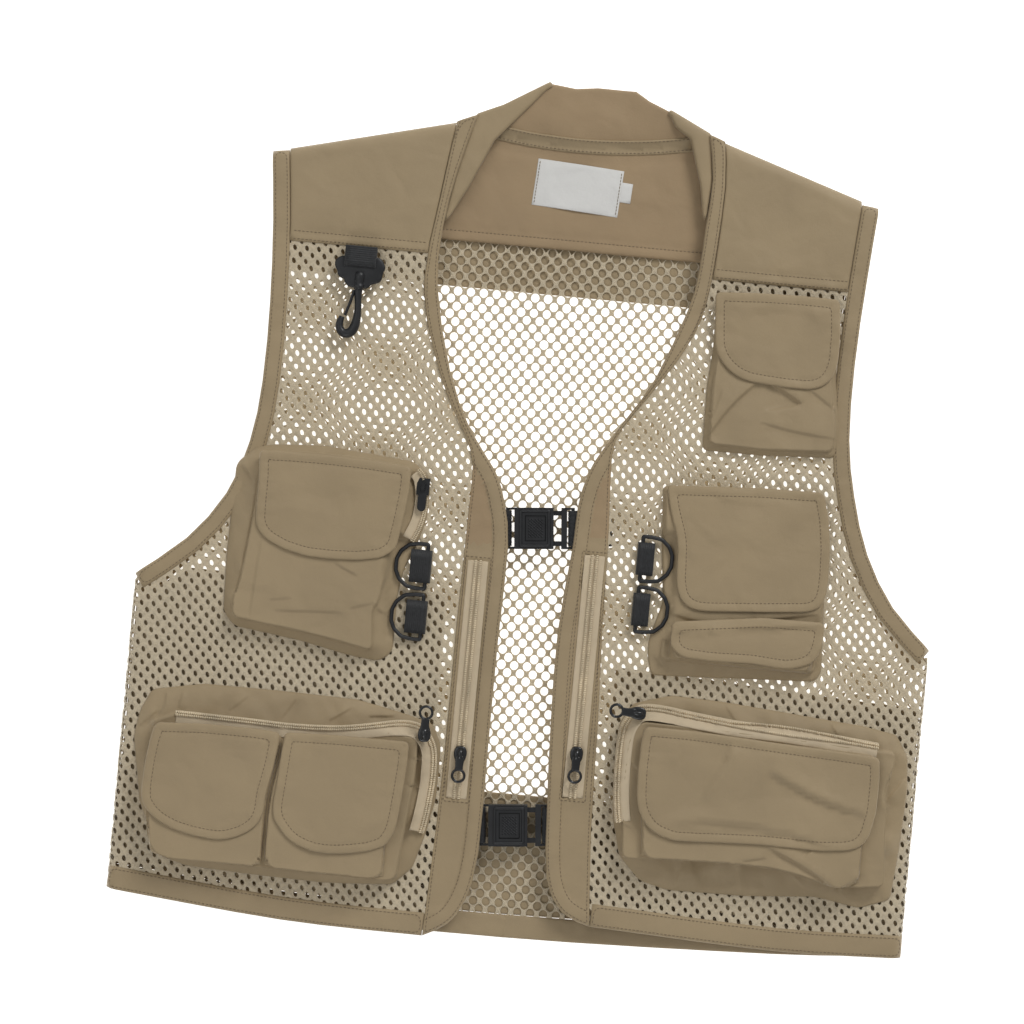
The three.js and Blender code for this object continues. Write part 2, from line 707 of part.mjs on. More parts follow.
function buckleMale() {
  const { x, inner, outer, cross, crossZ } = PRONGS;
  const rails = eachSide((sign) => pairedBox(sign, x, [inner, outer], BAR));
  const arms = eachSide((sign) => {
    return pairedBox(sign, [cross[1] - 1, MALE_BAR[1]], [HALF_HOUSING - ARM, HALF_HOUSING], BAR);
  });
  return join(
    box(cross, [-HALF_HOUSING, HALF_HOUSING], crossZ),
    box(MALE_BAR, [-HALF_HOUSING, HALF_HOUSING], BAR),
    ...rails,
    ...arms,
  );
}

// Webbing that comes from under the placket, goes round the buckle's bar and turns back below it.
const STRAP = { reach: 50, tail: 28.5, over: 12, under: 7.2, foldLeft: -19.4, foldRight: 20.2 };

function strap(sign) {
  const { reach, tail, over, under: low, foldLeft, foldRight } = STRAP;
  const fold = sign < 0 ? foldLeft : foldRight;
  const inside = fold + sign * WEBBING;
  const profile = [
    [sign * reach, over], [sign * reach, over + WEBBING], [fold, over + WEBBING], [fold, low],
    [sign * tail, low], [sign * tail, low + WEBBING], [inside, low + WEBBING], [inside, over],
  ];
  return sideways(profile, [-STRAP_WIDTH / 2, STRAP_WIDTH / 2]);
}

const BUCKLES = { upper: [0, -14.5], lower: [1, -223.5] };

function buildBuckles() {
  for (const [name, place] of Object.entries(BUCKLES)) {
    const group = frame(...place, 0, BUCKLE_TURN);
    add(`buckle_female_${name}`, buckleFemale(), "plastic", group);
    add(`buckle_male_${name}`, buckleMale(), "plastic", group);
    const button = box(BUTTON.x, [-BUTTON.half, BUTTON.half], BUTTON.z);
    add(`buckle_button_${name}`, button, "plastic", group);
    add(`strap_${name}_left`, strap(-1), "webbing", group);
    add(`strap_${name}_right`, strap(1), "webbing", group);
  }
}

// The swivel hook hangs from a webbing tab at the shoulder seam.

const HOOK_BAR_Y = 161.5;
const SWIVEL_DROP = 19.8; // from the webbing's bar to the top of the hook
const GATE = { width: 2, length: 19.6, thick: 3, x: -5.4, y: -7, above: 0.8 };
const TAB = { outer: 3.6, inner: 2.4, drop: 8.8 }; // the tab's radii round the bar, and its tail

function hookTab() {
  const across = [-STRAP_WIDTH / 2, STRAP_WIDTH / 2];
  const { outer, inner, drop } = TAB;
  const ring = sideways(arc([0, 0], outer, 0, 345, 23), across, arc([0, 0], inner, 0, 330, 11));
  const foot = POCKET_FLOOR - HOOK_Z;
  const tail = [
    [0, -outer], [drop, -outer], [drop, foot], [drop + WEBBING, foot], [drop + WEBBING, WEBBING - outer],
    [0, WEBBING - outer],
  ];
  return geometryOf(join(ring, sideways(tail, across))).rotateZ(Math.PI / 2);
}

// The loop frame: a slot for the webbing above, and below it a bored boss for the swivel.
function hookLoop() {
  const frameOutline = [
    [-17, 1.5], [-18, -5], [-15, -9], [-9, -12], [-6, -17],
    [6, -17], [9, -12], [15, -9], [18, -5], [17, 1.5],
  ];
  const body = plate(frameOutline, [-1.5, 1.5], rectangle(-13.5, 13.5, -6.5, -1.5));
  const boss = box([-6, 6], [-17.4, -8], [-4, 4]);
  const headRoom = box([-4.2, 4.2], [-12.6, -9.6], [-5, 5]);
  const bore = cylinder(2.6, 8, -15);
  return cut(join(body, boss), headRoom, bore);
}

// A round bar along Y, with its middle at y.
function cylinder(radius, length, y) {
  return solid(new THREE.CylinderGeometry(radius, radius, length, 16).translate(0, y, 0));
}

function hookBody() {
  const outline = [
    [-3.5, 0], [3.5, 0], [7, -7], [7, -30], ...arc([0, -30], 7, 0, -180, 12), [-7, -26.5],
    [-3.6, -26.5], ...arc([0, -30], 3.6, 180, 360, 10), [3.6, -11], [-3.2, -5],
  ];
  const shank = cylinder(2.2, 8.4, 3.2);
  const head = cylinder(3.6, 2, 8.2);
  return join(plate(reversed(outline), [-1.9, 1.9]), shank, head);
}

function buildHook() {
  add("hook_tab", hookTab(), "webbing").position.set(HOOK_X, HOOK_BAR_Y, HOOK_Z);
  add("hook_loop", hookLoop(), "plastic").position.set(HOOK_X, HOOK_BAR_Y, HOOK_Z);
  const hookY = HOOK_BAR_Y - SWIVEL_DROP;
  add("snap_hook", hookBody(), "plastic").position.set(HOOK_X, hookY, HOOK_Z);
  const { width, length, thick, x, y, above: overlap } = GATE;
  const leaf = rectangle(-width / 2, width / 2, overlap - length, overlap);
  const gate = plateGeometry(leaf, [-thick / 2, thick / 2]);
  add("snap_hook_gate", gate, "plastic").position.set(HOOK_X + x, hookY + y, HOOK_Z);
}

buildBack();
for (const [name, side] of Object.entries(SIDES)) {
  buildFront(name, side);
  buildArmhole(name, side);
  buildHem(name, side);
}
buildCollar();
buildPockets();
buildFlaps();
buildZips();
buildRings();
buildBuckles();
buildHook();

export default vest;
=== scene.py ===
"""A mesh fishing vest lying on its back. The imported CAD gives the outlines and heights, and this
script lays cloth, perforated mesh, zips, stitches, webbing and moulded hardware around it.
Lengths are in millimetres until a mesh is made."""

import math

import bpy
import numpy as np
from mathutils import Matrix, Vector
from mathutils.bvhtree import BVHTree
from mathutils.geometry import delaunay_2d_cdt


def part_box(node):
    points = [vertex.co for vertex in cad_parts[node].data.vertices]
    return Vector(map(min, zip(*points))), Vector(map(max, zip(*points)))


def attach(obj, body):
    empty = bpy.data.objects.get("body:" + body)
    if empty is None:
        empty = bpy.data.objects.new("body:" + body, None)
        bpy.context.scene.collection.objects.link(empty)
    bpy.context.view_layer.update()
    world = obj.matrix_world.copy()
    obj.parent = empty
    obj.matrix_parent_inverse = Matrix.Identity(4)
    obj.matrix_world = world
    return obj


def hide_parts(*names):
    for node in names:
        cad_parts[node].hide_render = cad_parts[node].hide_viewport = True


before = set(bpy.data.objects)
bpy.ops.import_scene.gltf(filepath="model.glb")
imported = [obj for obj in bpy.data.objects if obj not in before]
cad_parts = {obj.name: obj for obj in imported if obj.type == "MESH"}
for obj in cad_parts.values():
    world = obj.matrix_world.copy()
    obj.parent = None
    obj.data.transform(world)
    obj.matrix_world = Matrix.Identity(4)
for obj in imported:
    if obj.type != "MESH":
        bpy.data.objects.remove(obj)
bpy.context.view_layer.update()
MM = 0.001

# ---------------------------------------------------------------- camera, light and floor

VIEW_CENTRE = (-20.6, -0.4, 15)
VIEW_WIDTH = 717  # what the camera takes in at the height of the cloth
VIEW_ROLL = math.radians(-5.3)
CAMERA_HEIGHT = 2000
SENSOR = 36


def make_camera():
    data = bpy.data.cameras.new("camera")
    camera = bpy.data.objects.new("camera", data)
    bpy.context.scene.collection.objects.link(camera)
    data.sensor_width = SENSOR
    data.lens = SENSOR * CAMERA_HEIGHT / VIEW_WIDTH
    data.clip_end = 50
    x, y, z = VIEW_CENTRE
    camera.location = (x * MM, y * MM, (z + CAMERA_HEIGHT) * MM)
    camera.rotation_euler = (0, 0, -VIEW_ROLL)
    bpy.context.scene.camera = camera


def make_light(name, place, size, power):
    data = bpy.data.lights.new(name, "AREA")
    data.size = size
    data.energy = power
    light = bpy.data.objects.new(name, data)
    bpy.context.scene.collection.objects.link(light)
    light.location = place
    light.rotation_euler = (-Vector(place)).to_track_quat("-Z", "Y").to_euler()


def node_material(name):
    material = bpy.data.materials.new(name)
    material.use_nodes = True
    nodes = material.node_tree.nodes
    return material, nodes, material.node_tree.links, nodes["Principled BSDF"]


def make_stage():
    material, _, _, shader = node_material("floor")
    shader.inputs["Base Color"].default_value = (0.9, 0.9, 0.9, 1)
    shader.inputs["Roughness"].default_value = 0.9
    shader.inputs["Specular IOR Level"].default_value = 0.1
    shader.inputs["Emission Color"].default_value = (1, 1, 0.99, 1)
    shader.inputs["Emission Strength"].default_value = 0.8
    half = 3
    mesh = bpy.data.meshes.new("floor")
    corners = [(-half, -half, 0), (half, -half, 0), (half, half, 0), (-half, half, 0)]
    mesh.from_pydata([Vector(c) - Vector((0, 0, 0.0004)) for c in corners], [], [(0, 1, 2, 3)])
    mesh.materials.append(material)
    floor = bpy.data.objects.new("floor", mesh)
    bpy.context.scene.collection.objects.link(floor)
    world = bpy.data.worlds.new("studio")
    world.use_nodes = True
    world.node_tree.nodes["Background"].inputs["Color"].default_value = (1, 1, 1, 1)
    world.node_tree.nodes["Background"].inputs["Strength"].default_value = 0.32
    bpy.context.scene.world = world
    bpy.context.scene.view_settings.view_transform = "Standard"
    make_light("key", (1.6, 3.1, 2.5), 1.5, 97)
    make_light("fill", (-1.5, 0.4, 2.2), 1.6, 8)
    make_light("low", (-0.4, -2.0, 1.9), 1.3, 14)


# ---------------------------------------------------------------- numbers and outlines


def noise(points, size, seed, turn=0.0, stretch=1.0):
    """Smooth noise from -1 to 1 whose features are size across, longer by stretch along turn."""
    lattice = np.random.default_rng(seed).uniform(-1, 1, (128, 128))
    c, s = math.cos(turn), math.sin(turn)
    x, y = points[:, 0], points[:, 1]
    grid = np.column_stack([(x * c + y * s) / (size * stretch), (y * c - x * s) / size]) + 500
    cell = np.floor(grid).astype(int)
    part = grid - cell
    part = part * part * (3 - 2 * part)

    def corner(i, j):
        return lattice[(cell[:, 0] + i) % 128, (cell[:, 1] + j) % 128]

    low = corner(0, 0) * (1 - part[:, 0]) + corner(1, 0) * part[:, 0]
    high = corner(0, 1) * (1 - part[:, 0]) + corner(1, 1) * part[:, 0]
    return low * (1 - part[:, 1]) + high * part[:, 1]


def area_of(outline):
    x, y = outline[:, 0], outline[:, 1]
    return 0.5 * float(np.sum(x * np.roll(y, -1) - y * np.roll(x, -1)))


def loops(node, up=True):
    """The outlines of a CAD node's top (or bottom) flat faces, anticlockwise, longest first."""
    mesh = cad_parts[node].data
    low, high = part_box(node)
    level, facing = (high.z, 1) if up else (low.z, -1)
    sides = set()
    for face in mesh.polygons:
        if face.normal.z * facing < 0.999 or abs(face.center.z - level) > 1e-5:
            continue
        ring = [tuple(round(c / MM, 3) for c in mesh.vertices[i].co[:2]) for i in face.vertices]
        for a, b in zip(ring, ring[1:] + ring[:1]):
            if (b, a) in sides:
                sides.discard((b, a))
            else:
                sides.add((a, b))
    after = dict(sorted(sides))
    found = []
    while after:
        first = next(iter(after))
        ring, at = [first], after.pop(first)
        while at != first and at in after:
            ring.append(at)
            at = after.pop(at)
        outline = np.array(ring)
        if len(ring) > 2 and abs(area_of(outline)) > 50:
            found.append(outline if area_of(outline) > 0 else outline[::-1])
    return sorted(found, key=lambda o: -abs(area_of(o)))


def resample(line, step, closed=True):
    """The line's own points with evenly spaced ones between them."""
    line = np.asarray(line, float)
    ends = np.roll(line, -1, 0) if closed else line[1:]
    starts = line if closed else line[:-1]
    made = []
    for a, b in zip(starts, ends):
        length = np.linalg.norm(b - a)
        if length < 0.05:
            continue
        count = max(1, round(length / step))
        made.extend(a + (b - a) * i / count for i in range(count))
    if not closed:
        made.append(line[-1])
    return np.array(made)


def evened(line, step):
    """An open line resampled to equal steps all along."""
    line = np.asarray(line, float)
    gone = np.concatenate([[0], np.cumsum(np.linalg.norm(np.diff(line, axis=0), axis=1))])
    at = np.linspace(0, gone[-1], max(2, round(gone[-1] / step) + 1))
    return np.column_stack([np.interp(at, gone, line[:, i]) for i in range(line.shape[1])])


def rounded(line, times=2, closed=False):
    """The line with its corners cut away, again and again."""
    line = np.asarray(line, float)
    for _ in range(times):
        a, b = line, np.roll(line, -1, 0)
        if not closed:
            a, b = line[:-1], line[1:]
        cut = np.stack([0.75 * a + 0.25 * b, 0.25 * a + 0.75 * b], 1).reshape(-1, line.shape[1])
        line = cut if closed else np.vstack([line[:1], cut, line[-1:]])
    return line


def inside(points, outline):
    x, y = points[:, 0], points[:, 1]
    within = np.zeros(len(points), bool)
    for (x0, y0), (x1, y1) in zip(outline, np.roll(outline, -1, 0)):
        if y0 == y1:
            continue
        crosses = (y0 > y) != (y1 > y)
        within ^= crosses & (x < (x1 - x0) * (y - y0) / (y1 - y0) + x0)
    return within


def to_line(points, line, closed=False):
    """Each point's distance to the line, and how far along the line its nearest place is."""
    line = np.asarray(line, float)
    starts = line if closed else line[:-1]
    ends = np.roll(line, -1, 0) if closed else line[1:]
    best = np.full(len(points), 1e9)
    along = np.zeros(len(points))
    gone = 0.0
    for a, b in zip(starts, ends):
        d = b - a
        length = float(np.linalg.norm(d))
        t = np.clip(((points - a) @ d) / max(length * length, 1e-9), 0, 1)
        gap = np.linalg.norm(points - a - t[:, None] * d, axis=1)
        nearer = gap < best
        best[nearer] = gap[nearer]
        along[nearer] = (gone + t * length)[nearer]
        gone += length
    return best, along


def signed(points, line):
    """Each point's distance from an open line, above 0 on its left, and its share of the way along."""
    best = np.full(len(points), 1e9)
    side = np.ones(len(points))
    along = np.zeros(len(points))
    gone = 0.0
    for a, b in zip(line[:-1], line[1:]):
        d = b - a
        length = float(np.linalg.norm(d))
        t = np.clip(((points - a) @ d) / max(length * length, 1e-9), 0, 1)
        off = points - a - t[:, None] * d
        gap = np.linalg.norm(off, axis=1)
        nearer = gap < best - 1e-9
        cross = d[0] * (points[:, 1] - a[1]) - d[1] * (points[:, 0] - a[0])
        best[nearer] = gap[nearer]
        side[nearer] = np.where(cross >= 0, 1.0, -1.0)[nearer]
        along[nearer] = (gone + t * length)[nearer]
        gone += length
    return best * side, along / gone


def inward(outline, distance):
    """The closed anticlockwise outline moved into itself."""
    before, after = np.roll(outline, 1, 0), np.roll(outline, -1, 0)
    d = after - before
    d /= np.maximum(np.linalg.norm(d, axis=1), 1e-9)[:, None]
    moved = outline + distance * np.column_stack([-d[:, 1], d[:, 0]])
    gap, _ = to_line(moved, outline, closed=True)
    return moved[(gap > 0.9 * abs(distance)) & (inside(moved, outline) == (distance > 0))]


def beside(line, distance):
    """An open line moved to its left by distance."""
    d = np.gradient(line, axis=0)
    d /= np.maximum(np.linalg.norm(d, axis=1), 1e-9)[:, None]
    return line + distance * np.column_stack([-d[:, 1], d[:, 0]])


def fill(outline, step, rings=(0.7, 1.8), rim_step=None, lines=(), mouth=None):
    """Points and triangles that fill an outline, with rows of points at the distances in rings
    and on both sides of each of the lines. Nothing fills the mouth."""
    rim = resample(outline, rim_step or step)
    parts = [rim]
    for distance in rings:
        parts.append(inward(rim, distance))
    reach = (max(rings) if rings else 0) + 0.55 * step
    lines = [evened(rounded(line, 2), 2.4) for line in lines]
    if mouth is not None:
        lines.append(resample(np.vstack([mouth, mouth[:1]]), 3, closed=False))
    for line in lines:
        for shift in (-1.6, -0.35, 0.35, 1.6):
            row = beside(line, shift)
            row = row[inside(row, rim)]
            gap, _ = to_line(row, rim, closed=True)
            parts.append(row[gap > 1.2])
    low, high = rim.min(0), rim.max(0)
    rows = []
    for j, y in enumerate(np.arange(low[1], high[1], step * 0.866)):
        x = np.arange(low[0] + (j % 2) * step / 2, high[0], step)
        rows.append(np.column_stack([x, np.full(len(x), y)]))
    grid = np.vstack(rows)
    grid = grid[inside(grid, rim)]
    gap, _ = to_line(grid, rim, closed=True)
    clear = gap > reach
    for line in lines:
        clear &= to_line(grid, line)[0] > 1.6 + 0.5 * step
    parts.append(grid[clear])
    points = np.vstack(parts)
    face = [list(range(len(rim)))]
    made = delaunay_2d_cdt([Vector(p) for p in points], [], face, 1, 1e-5)
    points = np.array([v[:] for v in made[0]])
    triangles = [list(t) for t in made[2]]
    if mouth is not None:
        middles = np.array([points[t].mean(0) for t in triangles])
        open_there = inside(middles, mouth)
        triangles = [t for t, gone in zip(triangles, open_there) if not gone]
        kept = sorted({i for t in triangles for i in t})
        index = {i: k for k, i in enumerate(kept)}
        points = points[kept]
        triangles = [[index[i] for i in t] for t in triangles]
    return points, triangles


# ---------------------------------------------------------------- meshes and surfaces

surfaces = {}  # name: the tree of a laid surface, for what lies on it
DOWN = Vector((0, 0, -1))


def heights(points, names):
    """The height of the highest of the named surfaces at each point, or -1000 beside them."""
    found = np.full(len(points), -1000.0)
    for name in names:
        tree = surfaces[name]
        for i, (x, y) in enumerate(points):
            hit = tree.ray_cast(Vector((x, y, 300)), DOWN)[0]
            if hit is not None and hit.z > found[i]:
                found[i] = hit.z
    return found


def make(name, points, faces, material, body="root", slot=None, smooth=True):
    mesh = bpy.data.meshes.new(name)
    mesh.from_pydata((np.asarray(points, float) * MM).tolist(), [], faces)
    mesh.validate()
    if smooth:
        mesh.polygons.foreach_set("use_smooth", [True] * len(mesh.polygons))
    for m in material if isinstance(material, (list, tuple)) else [material]:
        mesh.materials.append(m)
    piece = bpy.data.objects.new(name, mesh)
    bpy.context.scene.collection.objects.link(piece)
    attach(piece, body)
    return piece


def border(triangles):
    """The directed edges that only one face uses."""
    edges = set()
    for face in triangles:
        for a, b in zip(face, face[1:] + face[:1]):
            if (b, a) in edges:
                edges.discard((b, a))
            else:
                edges.add((a, b))
    return sorted(edges)


def shell(name, flat, triangles, top, thick, material, **more):
    """A closed sheet whose upper face has the heights in top. It's also kept as a surface."""
    upper = np.column_stack([flat, top])
    lower = np.column_stack([flat, top - thick])
    count = len(flat)
    faces = list(triangles)
    faces += [[i + count for i in reversed(t)] for t in triangles]
    faces += [[b, a, a + count, b + count] for a, b in border(triangles)]
    surfaces[name] = BVHTree.FromPolygons(upper.tolist(), triangles)
    return make(name, np.vstack([upper, lower]), faces, material, **more)


def declare(flat, area=None):
    """Works out a sheet's flat size and area in metres from sizes in mm and mm2; nothing is done with them.
    """
    size = tuple(float(s) * MM for s in flat)
    area = None if area is None else min(area * MM * MM, size[0] * size[1])


def extent(outline):
    return outline.max(0) - outline.min(0)


def hem_relief(gap, along, seam=7.5, puff=0.55, groove=0.5, pucker=0.32, seed=0.0):
    """The shape that a turned and stitched edge gives the cloth near it."""
    edge = np.clip(gap / 1.3, 0, 1)
    roll = -0.7 * (1 - np.sqrt(edge * (2 - edge)))
    turned = puff * np.sin(np.pi * np.clip(gap / seam, 0, 1)) ** 0.7
    dip = -groove * np.exp(-(((gap - seam) / 1.0) ** 2))
    beat = np.sin(along * 0.72 + 2.1 * np.sin(along / 11 + seed)) * (0.6 + 0.4 * np.sin(along / 23 + seed))
    return roll + turned + dip + pucker * beat * np.exp(-np.abs(gap - seam) / 4.5)


# ---------------------------------------------------------------- materials


def linear(r, g, b):
    """An sRGB colour of 0 to 255 as the linear one that shaders take."""
    parts = [c / 255 for c in (r, g, b)]
    return tuple(c / 12.92 if c <= 0.04045 else ((c + 0.055) / 1.055) ** 2.4 for c in parts)


def varied_colour(nodes, links, place, colour, spread, scale):
    """The colour, a little lighter and darker in patches of 1 / scale metres."""
    patches = nodes.new("ShaderNodeTexNoise")
    patches.inputs["Scale"].default_value = scale
    patches.inputs["Detail"].default_value = 4
    ramp = nodes.new("ShaderNodeValToRGB")
    ramp.color_ramp.elements[0].position = 0.3
    ramp.color_ramp.elements[1].position = 0.7
    ramp.color_ramp.elements[0].color = (*[c * (1 - spread) for c in colour], 1)
    ramp.color_ramp.elements[1].color = (*[min(1, c * (1 + spread)) for c in colour], 1)
    links.new(place.outputs["Object"], patches.inputs["Vector"])
    links.new(patches.outputs["Fac"], ramp.inputs["Fac"])
    return ramp


def bump_chain(nodes, links, shader, steps):
    """Joins (height socket, strength, distance) steps into the shader's normal."""
    previous = None
    for socket, strength, distance in steps:
        bump = nodes.new("ShaderNodeBump")
        bump.inputs["Strength"].default_value = strength
        bump.inputs["Distance"].default_value = distance
        links.new(socket, bump.inputs["Height"])
        if previous is not None:
            links.new(previous.outputs["Normal"], bump.inputs["Normal"])
        previous = bump
    links.new(previous.outputs["Normal"], shader.inputs["Normal"])


def bands(nodes, links, place, direction, spacing):
    """Stripes of light and dark along one direction, spacing metres apart."""
    wave = nodes.new("ShaderNodeTexWave")
    wave.wave_type = "BANDS"
    wave.bands_direction = direction
    wave.inputs["Scale"].default_value = 0.314 / spacing
    wave.inputs["Distortion"].default_value = 0.6
    wave.inputs["Detail Scale"].default_value = 2
    links.new(place.outputs["Object"], wave.inputs["Vector"])
    return wave


def cloth_material(name, rgb, thread=0.00045, spread=0.05, roughness=0.62, sheen=0.25, crease=0.4):
    """Plain-weave cloth: crossed threads, soft creases and a faint sheen."""
    material, nodes, links, shader = node_material(name)
    place = nodes.new("ShaderNodeTexCoord")
    colour = linear(*rgb)
    ramp = varied_colour(nodes, links, place, colour, spread, 22)
    weft = bands(nodes, links, place, "X", thread)
    warp = bands(nodes, links, place, "Y", thread)
    weave = nodes.new("ShaderNodeMath")
    weave.operation = "MULTIPLY"
    links.new(weft.outputs["Fac"], weave.inputs[0])
    links.new(warp.outputs["Fac"], weave.inputs[1])
    shade = nodes.new("ShaderNodeMix")
    shade.data_type = "RGBA"
    shade.blend_type = "MULTIPLY"
    shade.inputs[0].default_value = 0.22
    links.new(ramp.outputs["Color"], shade.inputs[6])
    links.new(weave.outputs[0], shade.inputs[7])
    links.new(shade.outputs[2], shader.inputs["Base Color"])
    rub = nodes.new("ShaderNodeTexNoise")
    rub.inputs["Scale"].default_value = 90
    rub.inputs["Detail"].default_value = 5
    rub.inputs["Roughness"].default_value = 0.6
    links.new(place.outputs["Object"], rub.inputs["Vector"])
    spread_rough = nodes.new("ShaderNodeMapRange")
    spread_rough.inputs["To Min"].default_value = roughness - 0.08
    spread_rough.inputs["To Max"].default_value = roughness + 0.1
    links.new(rub.outputs["Fac"], spread_rough.inputs["Value"])
    links.new(spread_rough.outputs["Result"], shader.inputs["Roughness"])
    shader.inputs["Sheen Weight"].default_value = sheen
    shader.inputs["Sheen Roughness"].default_value = 0.4
    shader.inputs["Specular IOR Level"].default_value = 0.4
    wrinkle = nodes.new("ShaderNodeTexNoise")
    wrinkle.inputs["Scale"].default_value = 30
    wrinkle.inputs["Detail"].default_value = 1.5
    wrinkle.inputs["Distortion"].default_value = 0.6
    links.new(place.outputs["Object"], wrinkle.inputs["Vector"])
    bump_chain(nodes, links, shader, [
        (weave.outputs[0], 0.25, thread * 0.3),
        (rub.outputs["Fac"], crease, 0.0011),
        (wrinkle.outputs["Fac"], crease * 1.4, 0.005),
    ])
    return material


def knit_material(name, rgb):
    """Knitted mesh yarn, fuzzy and uneven at the size of its loops."""
    material, nodes, links, shader = node_material(name)
    place = nodes.new("ShaderNodeTexCoord")
    ramp = varied_colour(nodes, links, place, linear(*rgb), 0.12, 340)
    links.new(ramp.outputs["Color"], shader.inputs["Base Color"])
    loops_of_yarn = nodes.new("ShaderNodeTexVoronoi")
    loops_of_yarn.inputs["Scale"].default_value = 1100
    links.new(place.outputs["Object"], loops_of_yarn.inputs["Vector"])
    shader.inputs["Roughness"].default_value = 0.7
    shader.inputs["Sheen Weight"].default_value = 0.3
    shader.inputs["Sheen Roughness"].default_value = 0.5
    shader.inputs["Subsurface Weight"].default_value = 0.12
    shader.inputs["Subsurface Radius"].default_value = (1.0, 0.9, 0.75)
    shader.inputs["Subsurface Scale"].default_value = 0.0015
    bump_chain(nodes, links, shader, [(loops_of_yarn.outputs["Distance"], 0.6, 0.0004)])
    return material


def webbing_material(name, rgb):
    """Black ribbed webbing: fine cross threads over the ribs that the mesh has."""
    material, nodes, links, shader = node_material(name)
    place = nodes.new("ShaderNodeTexCoord")
    ramp = varied_colour(nodes, links, place, linear(*rgb), 0.3, 500)
    links.new(ramp.outputs["Color"], shader.inputs["Base Color"])
    weft = bands(nodes, links, place, "X", 0.0007)
    shader.inputs["Roughness"].default_value = 0.55
    shader.inputs["Sheen Weight"].default_value = 0.15
    bump_chain(nodes, links, shader, [(weft.outputs["Fac"], 0.5, 0.0003)])
    return material


def moulded_material(name, rgb, roughness, coat=0.0):
    """Moulded plastic or enamel, slightly mottled, with a fine grain."""
    material, nodes, links, shader = node_material(name)
    place = nodes.new("ShaderNodeTexCoord")
    ramp = varied_colour(nodes, links, place, linear(*rgb), 0.25, 60)
    links.new(ramp.outputs["Color"], shader.inputs["Base Color"])
    grain = nodes.new("ShaderNodeTexNoise")
    grain.inputs["Scale"].default_value = 1800
    grain.inputs["Detail"].default_value = 3
    links.new(place.outputs["Object"], grain.inputs["Vector"])
    wear = nodes.new("ShaderNodeTexNoise")
    wear.inputs["Scale"].default_value = 120
    links.new(place.outputs["Object"], wear.inputs["Vector"])
    spread_rough = nodes.new("ShaderNodeMapRange")
    spread_rough.inputs["To Min"].default_value = roughness - 0.08
    spread_rough.inputs["To Max"].default_value = roughness + 0.12
    links.new(wear.outputs["Fac"], spread_rough.inputs["Value"])
    links.new(spread_rough.outputs["Result"], shader.inputs["Roughness"])
    shader.inputs["Coat Weight"].default_value = coat
    bump_chain(nodes, links, shader, [(grain.outputs["Fac"], 0.25, 0.00006)])
    return material


TAN = cloth_material("tan_nylon", (170, 150, 117))
LINING = cloth_material("lining_nylon", (170, 146, 113), roughness=0.7, sheen=0.15)
TAPE = cloth_material("zip_tape", (212, 194, 164), thread=0.0007, roughness=0.75, sheen=0.1)
MESH = knit_material("mesh_knit", (190, 176, 150))
COIL = moulded_material("zip_coil", (214, 198, 168), 0.4)
THREAD = cloth_material("sewing_thread", (126, 109, 82), thread=0.0003, crease=0.2)
LABEL = cloth_material("label_satin", (232, 231, 227), thread=0.0004, spread=0.02, sheen=0.3)
WEBBING = webbing_material("black_webbing", (30, 31, 33))
PLASTIC = moulded_material("black_acetal", (27, 28, 30), 0.42)
ENAMEL = moulded_material("black_enamel", (22, 23, 25), 0.3, coat=0.3)

# ---------------------------------------------------------------- the heights of the cloth

HALF_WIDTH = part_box("hem_band_left")[0].x / -MM
FRONT_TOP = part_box("front_mesh_left")[1].z / MM
BACK_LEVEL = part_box("back_mesh_panel")[0].z / MM + 0.5
FOLD_MIDDLE = (FRONT_TOP + BACK_LEVEL) / 2
FOLD_RADIUS = 8
CLOTH = 0.8  # thickness of one layer of the nylon


def shoulder_line(node):
    """The fold along the top of a shoulder yoke, carried on past both its ends."""
    outline = loops(node)[0]
    top = outline[np.argmax(outline[:, 1])]
    outer = outline[np.argmax(np.abs(outline[:, 0]) * 10 + outline[:, 1])]
    run = outer - top
    return np.array([top - 0.25 * run, outer + 0.25 * run])


SHOULDERS = [shoulder_line("shoulder_yoke_left"), shoulder_line("shoulder_yoke_right")]


def fold_share(points):
    """1 where the vest lies flat, falling to 0 at its folded sides and shoulders."""
    gap = HALF_WIDTH - np.abs(points[:, 0])
    for line in SHOULDERS:
        gap = np.minimum(gap, to_line(points, line)[0])
    t = np.clip(gap / FOLD_RADIUS, 0, 1)
    return np.sqrt(t * (2 - t))


def front_z(points):
    """The upper side of the front mesh."""
    share = fold_share(points)
    calm = np.clip((np.abs(points[:, 0]) - 75) / 60, 0, 1)
    drape = 1.2 * noise(points, 75, 1, 0.9, 1.6) + 0.7 * noise(points, 30, 2, 2.2, 2.2)
    return FOLD_MIDDLE + (FRONT_TOP - FOLD_MIDDLE) * share + (0.2 + 0.8 * calm) * drape * share


def back_z(points):
    """The upper side of the back mesh, which lies almost on the floor."""
    share = fold_share(points)
    drape = 0.9 * (1 + noise(points, 80, 3, 1.2, 1.5)) * share
    return FOLD_MIDDLE - (FOLD_MIDDLE - BACK_LEVEL) * share + drape


# ---------------------------------------------------------------- perforated mesh


